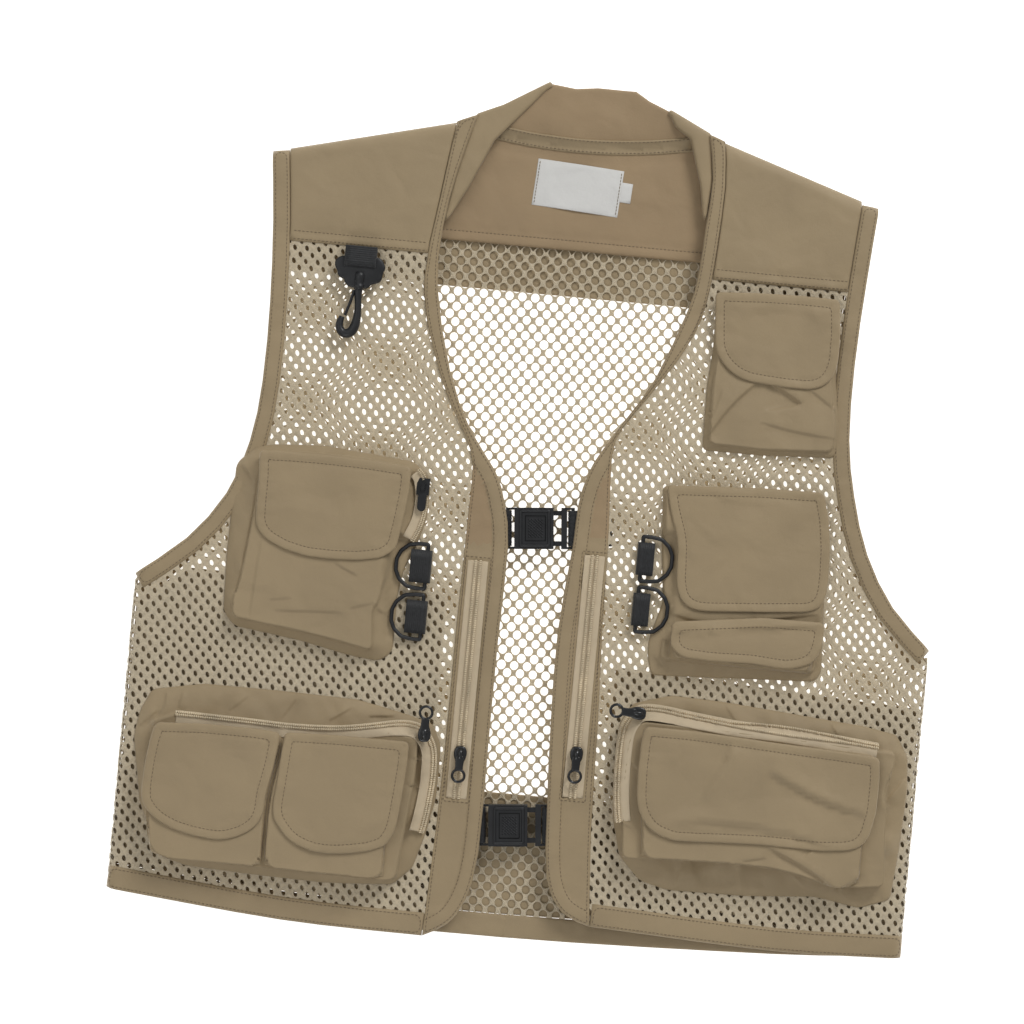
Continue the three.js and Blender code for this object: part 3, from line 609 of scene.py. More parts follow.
def perforated(name, outline, height, pitch, hole, thick=0.5, spare=4.0, keep=None, node=None):
    """Mesh cloth as real strands: one diamond tile with an oval hole per opening. The tiles reach
    spare past the outline, under the bindings. keep picks the tiles of this piece."""
    px, py = pitch
    low, high = outline.min(0) - spare, outline.max(0) + spare
    i = np.arange(math.floor(2 * low[0] / px), math.ceil(2 * high[0] / px) + 1)
    j = np.arange(math.floor(low[1] / py), math.ceil(high[1] / py) + 1)
    ii, jj = np.meshgrid(i, j)
    ij = np.column_stack([ii.ravel(), jj.ravel()])
    ij = ij[(ij.sum(1) % 2) == 0]
    centres = ij * [px / 2, py]
    ok = inside(centres, outline) | (to_line(centres, outline, closed=True)[0] < spare)
    ok &= np.abs(centres[:, 0]) < HALF_WIDTH - 1
    if keep is not None:
        ok &= keep(centres)
    ij, centres = ij[ok], centres[ok]
    corners = [(3, 0), (0, 3), (-3, 0), (0, -3)]
    ring = []
    for (x0, y0), (x1, y1) in zip(corners, corners[1:] + corners[:1]):
        ring += [(x0 + (x1 - x0) * k // 3, y0 + (y1 - y0) * k // 3) for k in range(3)]
    ring = np.array(ring)
    keys = (3 * ij[:, None, :] + ring[None]).reshape(-1, 2)
    unique, index = np.unique(keys, axis=0, return_inverse=True)
    index = index.reshape(len(ij), 12)
    rim = unique * [px / 6, py / 3]
    angle = np.arange(12) * math.pi / 6
    wide, tall, slant = hole
    wobble = 1 + 0.07 * noise(centres, 3, 7)[:, None]
    dx = wobble * (wide / 2 * np.cos(angle) + slant * tall / 2 * np.sin(angle))
    dy = wobble * (tall / 2 * np.sin(angle))
    holes = np.stack([centres[:, :1] + dx, centres[:, 1:] + dy], 2).reshape(-1, 2)
    for part in (rim, holes):
        part[:, 0] = np.clip(part[:, 0], -HALF_WIDTH, HALF_WIDTH)
    rim_z, hole_z = height(rim), height(holes) - thick / 2
    points = np.vstack([
        np.column_stack([rim, rim_z]), np.column_stack([rim, rim_z - thick]),
        np.column_stack([holes, hole_z]),
    ])
    count = len(rim)
    faces = []
    k = np.arange(12)
    after = (k + 1) % 12
    for t in range(len(ij)):
        a, b = index[t][k], index[t][after]
        c, d = 2 * count + 12 * t + after, 2 * count + 12 * t + k
        faces.extend(np.stack([a, b, c, d], 1).tolist())
        faces.extend(np.stack([b + count, a + count, d, c], 1).tolist())
    rings = [row.tolist() for row in index]
    faces += [[b, a, a + count, b + count] for a, b in border(rings)]
    piece = make(name, points, faces, MESH, slot="mesh_fabric", smooth=False)
    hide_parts(node)
    cut_to = extent(rim)
    cloth = len(ij) * (px * py - math.pi * wide * tall / 4)
    declare(cut_to, area=cloth)
    return piece


FRONT_PITCH, FRONT_HOLE = (8.4, 4.6), (2.6, 3.9, -0.22)
BACK_PITCH, BACK_HOLE = (9.1, 5.4), (5.9, 6.4, 0.0)


def build_mesh_panels():
    back = loops("back_mesh_panel")[0]
    perforated("back_mesh_left", back, back_z, BACK_PITCH, BACK_HOLE,
               keep=lambda c: c[:, 0] < 0, node="back_mesh_panel")
    perforated("back_mesh_right", back, back_z, BACK_PITCH, BACK_HOLE,
               keep=lambda c: c[:, 0] >= 0, node="back_mesh_panel")
    for side in ("left", "right"):
        node = f"front_mesh_{side}"
        perforated(node + "_panel", loops(node)[0], front_z, FRONT_PITCH, FRONT_HOLE, node=node)


# ---------------------------------------------------------------- stitches

STITCH_PITCH, STITCH_LENGTH, STITCH_RADIUS = 2.8, 1.9, 0.3
sewn = {}  # body: the stitches on it, each as its two ends


def stitch(line, on, body="root", lift=0.0, closed=False, pitch=STITCH_PITCH):
    """A row of stitches along a line, lying on the named surfaces."""
    line = np.asarray(line, float)
    if closed:
        line = np.vstack([line, line[:1]])
    middles = evened(line, pitch)
    middles = (middles[1:] + middles[:-1]) / 2
    if len(middles) < 2:
        return
    d = np.gradient(middles, axis=0)
    d *= STITCH_LENGTH / 2 / np.maximum(np.linalg.norm(d, axis=1), 1e-9)[:, None]
    ends = []
    for flat in (middles - d, middles + d):
        ends.append(np.column_stack([flat, heights(flat, on) + lift]))
    pairs = np.stack(ends, 1)
    sewn.setdefault(body, []).append(pairs[pairs[:, :, 2].min(1) > -100])


SAUSAGE = ((-1, 0.0), (-0.8, 0.75), (0, 1.0), (0.8, 0.75), (1, 0.0))


def sausages(name, pairs, radius, material, body="root", slot="tan_fabric", sides=6, lift=0.08):
    """One mesh of small closed sausages, each from one end to the other of its pair."""
    points, faces = [], []
    for a, b in pairs:
        axis = (b - a) / 2
        middle = (a + b) / 2 + [0, 0, lift]
        across = np.cross(axis, [0, 0, 1.0])
        across /= np.linalg.norm(across) + 1e-9
        up = np.cross(across, axis)
        up /= np.linalg.norm(up) + 1e-9
        first = len(points)
        points.append(middle - axis)
        for t, share in SAUSAGE[1:-1]:
            for k in range(sides):
                turn = 2 * math.pi * k / sides
                spoke = across * math.cos(turn) + up * math.sin(turn)
                points.append(middle + axis * t + spoke * share * radius)
        points.append(middle + axis)
        last = len(points) - 1
        for k in range(sides):
            n = (k + 1) % sides
            faces.append([first, first + 1 + n, first + 1 + k])
            for r in range(2):
                base = first + 1 + r * sides
                faces.append([base + k, base + n, base + n + sides, base + k + sides])
            faces.append([last, last - sides + k, last - sides + n])
    return make(name, points, faces, material, body=body, slot=slot)


def build_stitches():
    """One mesh of thread for each body."""
    for body, groups in sewn.items():
        name = "stitches" if body == "root" else f"stitches_{body}"
        sausages(name, np.vstack(groups), STITCH_RADIUS, THREAD, body)


# ---------------------------------------------------------------- cloth panels


def panel(name, outline, height, node=None, material=TAN, step=5, rings=(0.7, 1.8), thick=CLOTH,
          flat=None, area=None, held="laid", body="root", slot="tan_fabric", rests_on=(),
          rim_step=None):
    """A laid sheet. height(points, gap, along) gives its upper side from each point, its distance
    to the outline and how far round the outline that is."""
    points, triangles = fill(outline, step, rings, rim_step)
    gap, along = to_line(points, outline, closed=True)
    top = height(points, gap, along)
    piece = shell(name, points, triangles, top, thick, material, body=body, slot=slot)
    if node:
        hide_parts(node)
    if flat is None:
        flat, area = extent(outline), abs(area_of(outline))
    declare(flat, area=area)
    return piece


def softened(gap, reach=1.8, depth=0.9):
    """How far a sheet's rounded edge falls away, by the distance to the edge."""
    t = np.clip(gap / reach, 0, 1)
    return -depth * (1 - np.sqrt(t * (2 - t)))


def strip_size(outline):
    """The length and width of a long bent shape laid straight."""
    around = float(np.linalg.norm(outline - np.roll(outline, 1, 0), axis=1).sum()) / 2
    return around, max(10.2, abs(area_of(outline)) / around)


def strip_of(line, width):
    """The outline of a band of that width laid along the middle of a line."""
    outline = np.vstack([beside(line, -width / 2), beside(line, width / 2)[::-1]])
    return outline if area_of(outline) > 0 else outline[::-1]


def band(name, outline, base, width, node=None, rise=1.5, **more):
    """A folded binding: a flat tube of cloth, puckered a little along its seams."""

    def height(points, gap, along):
        crown = rise * np.sqrt(np.clip(gap / 3.0, 0, 1) * (2 - np.clip(gap / 3.0, 0, 1)))
        ripple = 0.22 * np.sin(along * 0.66 + 1.9 * np.sin(along / 17)) * np.clip(gap / 2, 0, 1)
        swell = 0.5 * noise(points, 22, 11)
        return base(points) + crown - 0.25 + ripple + swell * np.clip(gap / 4, 0, 1)

    length = abs(area_of(outline)) / width
    return panel(name, outline, height, node, thick=1.4, rings=(0.6, 1.6, 3.2), step=4,
                 flat=(length, width), **more)


def chain(outline, first, last):
    """The part of an anticlockwise outline from the point nearest first to that nearest last."""
    i = int(np.argmin(np.linalg.norm(outline - first, axis=1)))
    turned = np.roll(outline, -i, 0)
    j = int(np.argmin(np.linalg.norm(turned - last, axis=1)))
    return turned[: j + 1]


SIGNS = {"left": -1, "right": 1}


def build_back():
    def outer(level):
        def height(points, gap, along):
            share = fold_share(points)
            wave = 0.25 * (1 + noise(points, 50, 21))
            return FOLD_MIDDLE - (FOLD_MIDDLE - level) * share + wave * share + softened(gap, 1.5, 0.4)
        return height

    panel("back_yoke_cloth", loops("back_yoke")[0], outer(0.95), "back_yoke", step=7, held="stretched")
    rear = loops("rear_pocket")[0]
    panel("rear_pocket_cloth", rear, outer(0.95), "rear_pocket", step=8)

    def facing(points, gap, along):
        crease = 0.9 * noise(points, 55, 22, 0.4, 1.5) + 0.5 * noise(points, 24, 23, 2.0, 2.5)
        return back_z(points) + 1.6 + crease * np.clip(gap / 12, 0, 1) + hem_relief(gap, along, 8)

    outline = loops("yoke_facing")[0]
    panel("yoke_facing_cloth", outline, facing, "yoke_facing", material=LINING, step=4.5,
          rings=(0.7, 2, 5, 8, 11), slot="lining_fabric")
    low = outline[:, 1].min()
    edge = np.array([[outline[:, 0].min() + 4, low + 7], [outline[:, 0].max() - 4, low + 7]])
    stitch(edge, ["yoke_facing_cloth"])


def side_fold(side, sign):
    """The rolled fold of mesh down one side, where the front turns over to the back."""
    low, high = loops(f"hem_band_{side}")[0], loops(f"armhole_binding_{side}")[0]
    x = sign * (HALF_WIDTH - 1.0)
    bottom = low[np.abs(low[:, 0] - x) < 4, 1].max()
    top = high[np.abs(high[:, 0] - x) < 8, 1].max() - 3
    y = np.arange(bottom - 3, top, 3)
    bow = 0.7 * np.sin(y / 31) * np.sin(y / 9)
    path = np.column_stack([np.full(len(y), x) - sign * np.abs(bow), y, np.full(len(y), FOLD_MIDDLE)])
    piece = swept(f"side_fold_{side}", path, (0.9, 2.6), MESH, slot="mesh_fabric", sides=8)
    length = float(y[-1] - y[0])
    declare((length, 10.2), area=6 * length)


def build_hems_and_armholes():
    for side, sign in SIGNS.items():
        hem, hole = f"hem_band_{side}", f"armhole_binding_{side}"
        front, back = loops(hem)[0], loops(hem, up=False)[0]
        band(f"hem_front_{side}", front, lambda p: front_z(p) + 0.3, 16, hem, rise=1.1)
        back[np.abs(back[:, 0]) < 1, 0] = -1.5 * sign  # the halves lap at the middle
        band(f"hem_back_{side}", back, lambda p: back_z(p) + 0.1, 16, hem, rise=0.9 - 0.15 * sign)
        band(f"armhole_front_{side}", loops(hole)[0], lambda p: front_z(p) + 0.3, 12, hole)
        behind = loops(hole, up=False)[0]
        behind[:, 1] -= 9 * np.clip((np.abs(behind[:, 0]) - 235) / 45, 0, 1)
        band(f"armhole_back_{side}", behind, lambda p: back_z(p), 12, hole)
        side_fold(side, sign)
        for name, outline in ((f"hem_front_{side}", front), (f"armhole_front_{side}", loops(hole)[0])):
            stitch(inward(resample(outline, 4), 1.9), [name], closed=True)


def build_shoulders():
    for side, sign in SIGNS.items():
        node = f"shoulder_yoke_{side}"
        outline = loops(node)[0]
        seam = outline[:, 1].min()

        def height(points, gap, along, seed=31 + sign):
            up = points[:, 1] - seam
            crease = 0.8 * noise(points, 60, seed, 1.2, 1.8) + 0.3 * noise(points, 22, seed + 1, 0.3, 2)
            fold = 0.5 * np.exp(-((up - 3) / 2.5) ** 2) - 0.5 * np.exp(-((up - 7.2) / 1.0) ** 2)
            pucker = 0.25 * np.sin(points[:, 0] * 0.7 + 2 * np.sin(points[:, 0] / 15))
            pucker *= np.exp(-np.abs(up - 6) / 4)
            edge = softened(gap, 1.6, 0.8)
            return front_z(points) + 1.0 + crease * np.clip(gap / 15, 0, 1) + fold + pucker + edge

        panel(node + "_cloth", outline, height, node, step=4, rings=(0.7, 2, 4.5, 7.2, 9.5))
        left, right = outline[:, 0].min() + 2, outline[:, 0].max() - 2
        for up in (1.6, 7.2):
            stitch([[left, seam + up], [right, seam + up]], [node + "_cloth"])


BAND = 11  # width of the band round the neck and down both front edges


def build_plackets():
    for side, sign in SIGNS.items():
        node = f"placket_{side}"
        outline = loops(node)[0]
        low = outline[np.argmin(outline[:, 1])]
        high = outline[np.argmax(outline[:, 1])]
        if sign < 0:
            edge = chain(outline, low, high)
        else:
            edge = chain(outline, high, low)[::-1]
        edge = rounded(edge, 1)
        zip_low, zip_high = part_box(f"zip_placket_{side}")
        zip_x = (zip_low.x + zip_high.x) / 2 / MM
        zip_y = (zip_low.y / MM, zip_high.y / MM)
        window = rectangle(zip_x - 7.6, zip_x + 7.6, zip_y[0] - 0.5, zip_y[1] + 0.5)
        sill = np.vstack([window, window[:1]])

        def height(points, gap, along):
            free, run = to_line(points, edge)
            is_band = free < BAND
            t = np.clip(free / 3.2, 0, 1)
            crown = 1.3 * np.sqrt(t * (2 - t)) * np.clip((BAND - free) / 2.0, 0, 1) ** 0.5
            puckers = 0.25 * np.sin(run * 0.6 + 2 * np.sin(run / 19)) * np.exp(-np.abs(free - BAND) / 4)
            y = points[:, 1]
            above_zip = np.exp(-(((y - zip_y[1] - 32) / 34) ** 2))
            creases = 0.7 * above_zip * np.sin(y * 0.5 + 1.3 * np.sin(points[:, 0] / 5 + y / 11))
            creases += 0.8 * noise(points, 20, 41, 0.25, 2.6) * np.clip((zip_y[0] - y) / 20, 0, 1)
            beside_zip = np.clip((np.abs(points[:, 0] - zip_x) - 5) / 4, 0, 1)
            level = (y > zip_y[0]) & (y < zip_y[1])
            creases *= np.where(level, beside_zip * 0.3, 1)
            inner = 0.5 + creases * np.clip((free - BAND) / 4, 0, 1) * np.clip(gap / 4, 0, 1)
            seam_dip = -0.5 * np.exp(-(((free - BAND) / 0.9) ** 2))
            rise = np.where(is_band, 0.35 + crown, inner) + seam_dip + puckers
            from_sill, _ = to_line(points, sill)
            lip = 0.9 * np.exp(-from_sill / 7) * np.sqrt(np.clip(from_sill / 0.6, 0, 1))
            rise = np.where(inside(points, window), np.minimum(rise, 0.4), np.maximum(rise, 0.45) + lip)
            return FRONT_TOP + rise + softened(gap, 1.3, 0.5) + 0.3 * noise(points, 40, 42)

        rings = (0.6, 1.6, 3.2, 6, 9.2, 10.3, 11.2, 12.4)
        points, triangles = fill(outline, 3.2, rings, 3.5, lines=[sill])
        gap, along = to_line(points, outline, closed=True)
        piece = shell(node + "_cloth", points, triangles, height(points, gap, along), 1.0,
                      [TAN, LINING], slot="tan_fabric")
        middle = np.array([points[t].mean(0) for t in triangles])
        free, _ = to_line(middle, edge)
        lining = (free > BAND) & (middle[:, 1] > zip_y[1] + 12) & (middle[:, 1] < zip_y[1] + 75)
        for i in np.nonzero(lining)[0]:
            piece.data.polygons[int(i)].material_index = 1
            piece.data.polygons[int(i) + len(triangles)].material_index = 1
        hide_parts(node)
        length = float(np.linalg.norm(np.diff(edge, axis=0), axis=1).sum())
        declare((length, abs(area_of(outline)) / length))
        toward = 1 if sign < 0 else -1
        stitch(beside(edge, toward * 1.8), [node + "_cloth"])
        stitch(beside(edge, toward * (BAND - 1.2)), [node + "_cloth"])
        outer_seam = chain(outline, high, low) if sign < 0 else chain(outline, low, high)
        stitch(beside(rounded(outer_seam, 1), 1.8), [node + "_cloth"])
        for y in (zip_y[0] - 2.5, zip_y[1] + 2.5):
            stitch([[zip_x - 9, y], [zip_x + 9, y]], [node + "_cloth"])
        for x in (zip_x - 9, zip_x + 9):
            stitch([[x, zip_y[0] - 2.5], [x, zip_y[1] + 2.5]], [node + "_cloth"])


def build_collar():
    outlines = loops("collar_band")
    stand = loops("collar_band", up=False)[0]
    neck = loops("yoke_facing")[0]
    neck = neck[(np.abs(neck[:, 0] - 8) < 97) & (neck[:, 1] > 255)]
    neck = rounded(neck[np.argsort(neck[:, 0])], 2)
    base_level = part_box("collar_band")[0].z / MM
    fold_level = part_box("collar_band")[1].z / MM

    def stand_height(points, gap, along):
        up, _ = to_line(points, neck)
        lift = (fold_level - base_level - 3.0) * (1 - np.exp(-up / 13))
        crease = 1.3 * noise(points, 17, 51, 1.3, 2.2) + 0.5 * noise(points, 8, 52, 1.7, 2)
        return base_level + 1.6 + lift + crease * np.clip(up / 10, 0, 1) * 0.8 + softened(gap, 2.2, 1.6)

    panel("collar_stand", stand, stand_height, "collar_band", material=LINING, step=3,
          rings=(0.7, 1.6, 3), thick=1.4, slot="lining_fabric")
    for name, outline in zip(("collar_fold_left", "collar_fold_right"),
                             sorted(outlines, key=lambda o: o[:, 0].mean())):
        outline = inward(resample(outline, 3), -1.4)

        def height(points, gap, along):
            crease = 0.9 * noise(points, 18, 53, 1.1, 2.5)
            return fold_level + 0.6 + crease * np.clip(gap / 5, 0, 1) + softened(gap, 3, 2.2)

        panel(name, rounded(outline, 1, closed=True), height, "collar_band", step=2.5,
              rings=(0.6, 1.4, 2.6), thick=1.4, flat=strip_size(outline))
    low_side = neck[np.abs(neck[:, 0] - 8) < 80] + [0, -1.0]
    tape = strip_of(evened(low_side, 4) + [0, 2.5], 10)

    def tape_height(points, gap, along):
        support = heights(points, ["yoke_facing_cloth", "collar_stand"])
        return np.maximum(support, base_level) + 1.0 + hem_relief(gap, along, 2.4, 0.3, 0.2, 0.2)

    panel("neck_tape", tape, tape_height, step=2.5, rings=(0.6, 1.5, 2.4), thick=0.7,
          flat=(abs(area_of(tape)) / 10, 10))
    for shift in (3.6, -3.6):
        stitch(evened(low_side, 3) + [0, 2.5 + shift], ["neck_tape"])


def build_labels():
    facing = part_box("yoke_facing")
    cx, top = 5.5, facing[1].y / MM - 23.5
    c, s = math.cos(-0.06), math.sin(-0.06)

    def place(outline):
        return np.array(outline) @ np.array([[c, s], [-s, c]]) + [cx, top]

    def lying_on(names):
        def height(points, gap, along):
            wave = 0.5 * np.sin(points[:, 0] / 9 + 1)
            return drape_floor(points, names) + 0.8 + wave + softened(gap, 0.6, 0.25)
        return height

    label = place([[-30.5, -33], [30.5, -33], [30.5, 0], [-30.5, 0]])
    tab = place([[27.5, -22], [38, -22], [38, -8], [27.5, -8]])
    panel("size_tab", tab, lying_on(["yoke_facing_cloth"]), material=LABEL, step=3, rings=(0.5,),
          thick=0.3, slot="label")
    panel("neck_label", label, lying_on(["yoke_facing_cloth", "size_tab"]), material=LABEL, step=3,
          rings=(0.6,), thick=0.35, slot="label")
    for x in (-29, 29):
        stitch(place([[x, -31.5], [x, -1.5]]), ["neck_label"], pitch=2.4)


def drape_floor(points, names, reach=3.0, least=-1000.0):
    """The highest support within reach of each point."""
    found = heights(points, names)
    for dx, dy in ((1, 0), (-1, 0), (0, 1), (0, -1)):
        found = np.maximum(found, heights(points + np.array([dx, dy]) * reach, names))
    return np.maximum(found, least)


def drape(triangles, floor, rounds=80, held=None):
    """The lowest smooth sheet that stays on or above floor."""
    pairs = np.array([(t[i], t[(i + 1) % 3]) for t in triangles for i in range(3)])
    a, b = pairs[:, 0], pairs[:, 1]
    count = np.bincount(a, minlength=len(floor)) + np.bincount(b, minlength=len(floor))
    z = floor.copy()
    for _ in range(rounds):
        around = np.bincount(a, z[b], len(floor)) + np.bincount(b, z[a], len(floor))
        z = np.maximum(floor, around / np.maximum(count, 1))
        if held is not None:
            z[held] = floor[held]
    return z


def build_inner_bags():
    """The opaque pocket bags sewn behind the mesh of both fronts, as far as they show."""
    for side, sign in SIGNS.items():
        hem = loops(f"hem_band_{side}")[0]
        inner = sign * 60 if sign < 0 else 62
        top = -56 if sign < 0 else -106
        outer = sign * (HALF_WIDTH - 3)
        x0, x1 = sorted([inner, outer])
        low = np.interp([x0, x1], *(hem[np.argsort(hem[:, 0])].T)) + 6
        outline = [[x0, low[0] + 4], [x1, low[1] + 4], [x1, top - 6], [x0, top + 4]]
        if sign < 0:  # cut back along the armhole
            outline[3:] = [[x0 + 34, top - 4], [x0, top - 30]]
        else:  # and round the buckle's strap, which slides in
            outline += [[x0, -192], [80, -192], [80, -240], [x0, -240]]
        outline = np.array(outline)

        def height(points, gap, along):
            sag = 0.9 * noise(points, 45, 61 + sign, 0.5, 1.5)
            return front_z(points) - 2.6 + np.minimum(sag, 0.6) + softened(gap, 2, 0.4)

        panel(f"inner_bag_{side}", outline, height, step=8, thick=0.5)


# ---------------------------------------------------------------- pockets


def creased(points, strokes):
    """Adds up folds. Each is a line, the height on its left and on its right, and how far the
    height reaches; the two sides meet in a steep step, as where cloth laps over cloth."""
    total = np.zeros(len(points))
    for line, left, right, reach in strokes:
        gap, share = signed(points, rounded(line, 2))
        fade = np.clip(6 * share * (1 - share), 0, 1) ** 0.6
        tip = 0.5 + 0.5 * np.tanh(gap / 0.7)
        total += fade * (left * tip + right * (1 - tip)) * np.exp(-np.abs(gap) / reach)
    return total


def pouch(name, node, outline, face, top, low, strokes=(), mouth=None, jump=0.35, lumps=1.0, seed=0,
          step=3.2, material=TAN):
    """A pocket: a raised face whose gussets fall to the outline. low(points) is what it lies on.
    jump is the share of the height that is lost in one step at the edge of the face."""
    outline, face = np.array(outline, float), np.array(face, float)
    shape = rounded(resample(outline, 9), 2, closed=True)
    plateau = rounded(resample(face, 9), 2, closed=True)
    ring = np.vstack([plateau, plateau[:1]])
    lines = [ring] + [s[0] for s in strokes if abs(s[1] - s[2]) > 0.8]
    points, triangles = fill(shape, step, (0.6, 1.6), 3, lines, mouth)
    outer, _ = to_line(points, shape, closed=True)
    inner, _ = to_line(points, plateau, closed=True)
    on_face = inside(points, plateau)
    share = outer / np.maximum(outer + inner, 1e-6)
    share = np.where(on_face, 1.0, share)
    base = low(points)
    slope = (1 - jump) * share ** 0.8
    rise = np.where(on_face, 1.0, slope)
    lip = np.where(on_face, 0.5 * np.exp(-inner / 2.5), 0)
    crumple = 1.3 * noise(points, 11, 70 + seed, 0.6, 2.0) + 0.6 * noise(points, 5.5, 71 + seed, 2.0, 2)
    dents = 1.0 * noise(points, 38, 72 + seed, 0.5, 1.7) + 0.45 * noise(points, 15, 73 + seed, 1.9, 2.4)
    soft = np.where(on_face, 0.75 * dents, crumple * np.clip(outer / 4, 0, 1)) * lumps
    top_z = base + (top - base) * rise + lip + soft * np.clip(outer / 5, 0, 1) + creased(points, strokes)
    for part in HARDWARE:
        low_corner, high_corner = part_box(part)
        box = np.array([low_corner, high_corner]) / MM
        if part == CHEST_SLIDER:
            box[0, 1] -= CHEST_TRAVEL
        off = np.maximum(box[0, :2] - 1.2 - points, points - box[1, :2] - 1.2).clip(0)
        top_z = np.minimum(top_z, box[0, 2] - 0.6 + 1.6 * np.linalg.norm(off, axis=1))
    top_z = np.maximum(top_z, base + 0.1 * np.clip(outer, 0, 3)) + softened(outer, 1.4, 0.6)
    piece = shell(name, points, triangles, top_z, CLOTH, material, slot="tan_fabric")
    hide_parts(node)
    declare(extent(outline) * 1.15, area=abs(area_of(outline)) * 1.15)
    return piece


def on_mesh(points):
    return front_z(points) + 0.9


def rectangle(x0, x1, y0, y1):
    return np.array([[x0, y0], [x1, y0], [x1, y1], [x0, y1]], float)


# the parts that the pockets are dented under
CHEST_SLIDER = "zip_slider_chest"
CHEST_TRAVEL = 18  # how far down the slider runs
HARDWARE = [f"d_ring_{level}_{side}" for level in ("upper", "lower") for side in SIGNS] + [CHEST_SLIDER]

CHEST_OUTLINE = [
    (-215.8, 15.8), (-216.9, -47.2), (-215.5, -87.9), (-207.6, -97.6), (-160.4, -103.7), (-124.7, -110.9),
    (-103.5, -113), (-94.9, -105.8), (-95.1, -66.2), (-92.2, -47.3), (-84.5, -29.1), (-79.6, -11.1),
    (-78.8, 8.7), (-80.9, 19), (-92.2, 28.5), (-155.7, 34), (-190.4, 31.6), (-204.1, 28.6),
]
CHEST_FACE = [
    (-199.1, 24.4), (-199, -8.2), (-202.3, -41.2), (-205.3, -65.9), (-208.7, -79.1), (-208.2, -90.7),
    (-187, -93.4), (-156.4, -97), (-131.5, -101.1), (-108.9, -105.4), (-111.6, -77.1), (-108.4, -73.3),
    (-105.9, -62.6), (-101.9, -43.5), (-98.2, -32.7), (-92.6, 24), (-125, 27), (-156, 28), (-178, 27.6),
]
CHEST_FOLDS = [
    ([(-199.5, 14), (-200, -11), (-203, -41), (-206, -66), (-209, -80), (-209, -92)], -0.9, 1.6, 4),
    ([(-192.4, -35), (-194.1, -54.4), (-196, -90)], 0.8, -0.7, 3),
    ([(-212, 16), (-201, 3)], 1.2, -1.2, 4),
    ([(-180, -84), (-131, -81)], 0.8, -0.9, 5),
    ([(-184, -77), (-167, -74)], 0.7, -0.6, 4),
    ([(-128, -78), (-109, -72)], 0.8, -0.8, 4),
    ([(-141, -47), (-123, -55)], 0.8, -0.8, 4),
    ([(-96, 8), (-84, 2)], 1.0, -1.0, 3),
    ([(-98, -26), (-86, -20)], 0.9, -1.0, 3),
    ([(-108, -76), (-97, -84)], 1.0, -1.0, 3),
]
UPPER_OUTLINE = [
    (108, 55), (149, 55), (201, 58), (203, 78), (197, 110), (193, 165), (108, 164), (109, 128), (107, 99),
]
UPPER_FACE = [
    (112, 60), (149, 59), (198, 62), (199, 78), (193, 110), (189, 161), (112, 160), (113, 128), (111, 99),
]
UPPER_FOLDS = [
    ([(143, 107), (124, 87), (110, 63)], -1.8, 2.0, 8),
    ([(150, 106), (164, 99), (174, 93)], 1.6, -2.0, 6),
    ([(174, 93), (161, 89), (148, 86)], 1.5, -1.2, 5),
    ([(145, 78), (172, 73), (200, 71)], 1.0, -0.8, 7),
    ([(118, 100), (112, 76)], 0.8, -0.8, 4),
    ([(178, 104), (196, 92)], 0.9, -0.8, 5),
]
MID_OUTLINE = [
    (83, 28), (86, -15.7), (90.4, -52.9), (83, -80), (83, -91.3), (86.8, -105), (126.1, -103.2),
    (201, -99.1), (205.2, -93.1), (200, 13.7), (195, 32),
]
MID_FACE = [
    (85, 26), (88.5, -15.7), (93, -52.9), (93, -66), (92, -93), (120, -93.5), (200, -93), (201.5, -66),
    (196.5, 13.7), (193, 30),
]
MID_FOLDS = [
    ([(92, -60), (120, -66), (150, -62), (199, -52)], 1.2, -1.2, 6),
    ([(88, -92), (97, -101)], 0.9, -0.9, 3),
]
LOWER_LEFT_OUTLINE = [
    (-246, -262), (-226, -268), (-173, -270), (-129, -271), (-80, -268), (-67, -255), (-60, -230),
    (-55, -205), (-55, -168), (-62, -153), (-86, -147), (-116, -141), (-169, -140), (-224, -140),
    (-260, -147), (-267, -162), (-270, -180), (-262, -225),
]
LOWER_LEFT_FACE = [
    (-251, -259), (-229, -262), (-170, -263.5), (-86, -264), (-78, -262), (-75, -230), (-71, -190),
    (-71, -163), (-100, -160), (-160, -163), (-240, -161), (-256, -168), (-260, -200), (-255, -232),
]
LOWER_LEFT_FOLDS = [
    ([(-238, -146), (-240, -158)], 0.9, -0.9, 3),
    ([(-250, -147), (-249, -160), (-262, -174)], 1.1, -1.0, 4),
    ([(-267, -174), (-254, -161)], 1.0, -1.2, 3),
    ([(-205, -158), (-192, -145)], 0.8, -0.8, 5),
    ([(-168, -160), (-158, -144)], 0.8, -0.8, 5),
    ([(-135, -158), (-118, -146)], 1.0, -1.0, 5),
    ([(-108, -152), (-88, -150)], 1.2, -1.2, 4),
    ([(-75, -177), (-62, -179)], 0.8, -0.8, 3),
    ([(-76, -196), (-62, -198)], 0.8, -0.8, 3),
]
LEFT_PATCHES = {
    "outer": [(-254.5, -221.7), (-252.8, -238.2), (-249.3, -259.2), (-233.7, -262.7), (-210.9, -262.5),
              (-171.2, -262.4), (-171.7, -244.4), (-171.7, -223.1), (-170.8, -207.7), (-164.8, -169),
              (-254, -169.9)],
    "inner": [(-169.8, -262.5), (-134.6, -263.1), (-85.8, -263.1), (-87.2, -239.6), (-79.5, -208.3),
              (-78.5, -167), (-163.2, -168.9), (-169.4, -207.6), (-170.3, -223), (-170.3, -244.3)],
}
LOWER_RIGHT_OUTLINE = [
    (92, -249), (112, -254), (167, -253), (215, -249), (246, -254), (268, -246), (271, -209), (273, -170),
    (271, -146), (262, -131), (238, -127), (188, -123), (138, -119), (102, -118), (76, -126), (68, -140),
    (67, -176), (69, -205), (76, -233),
]
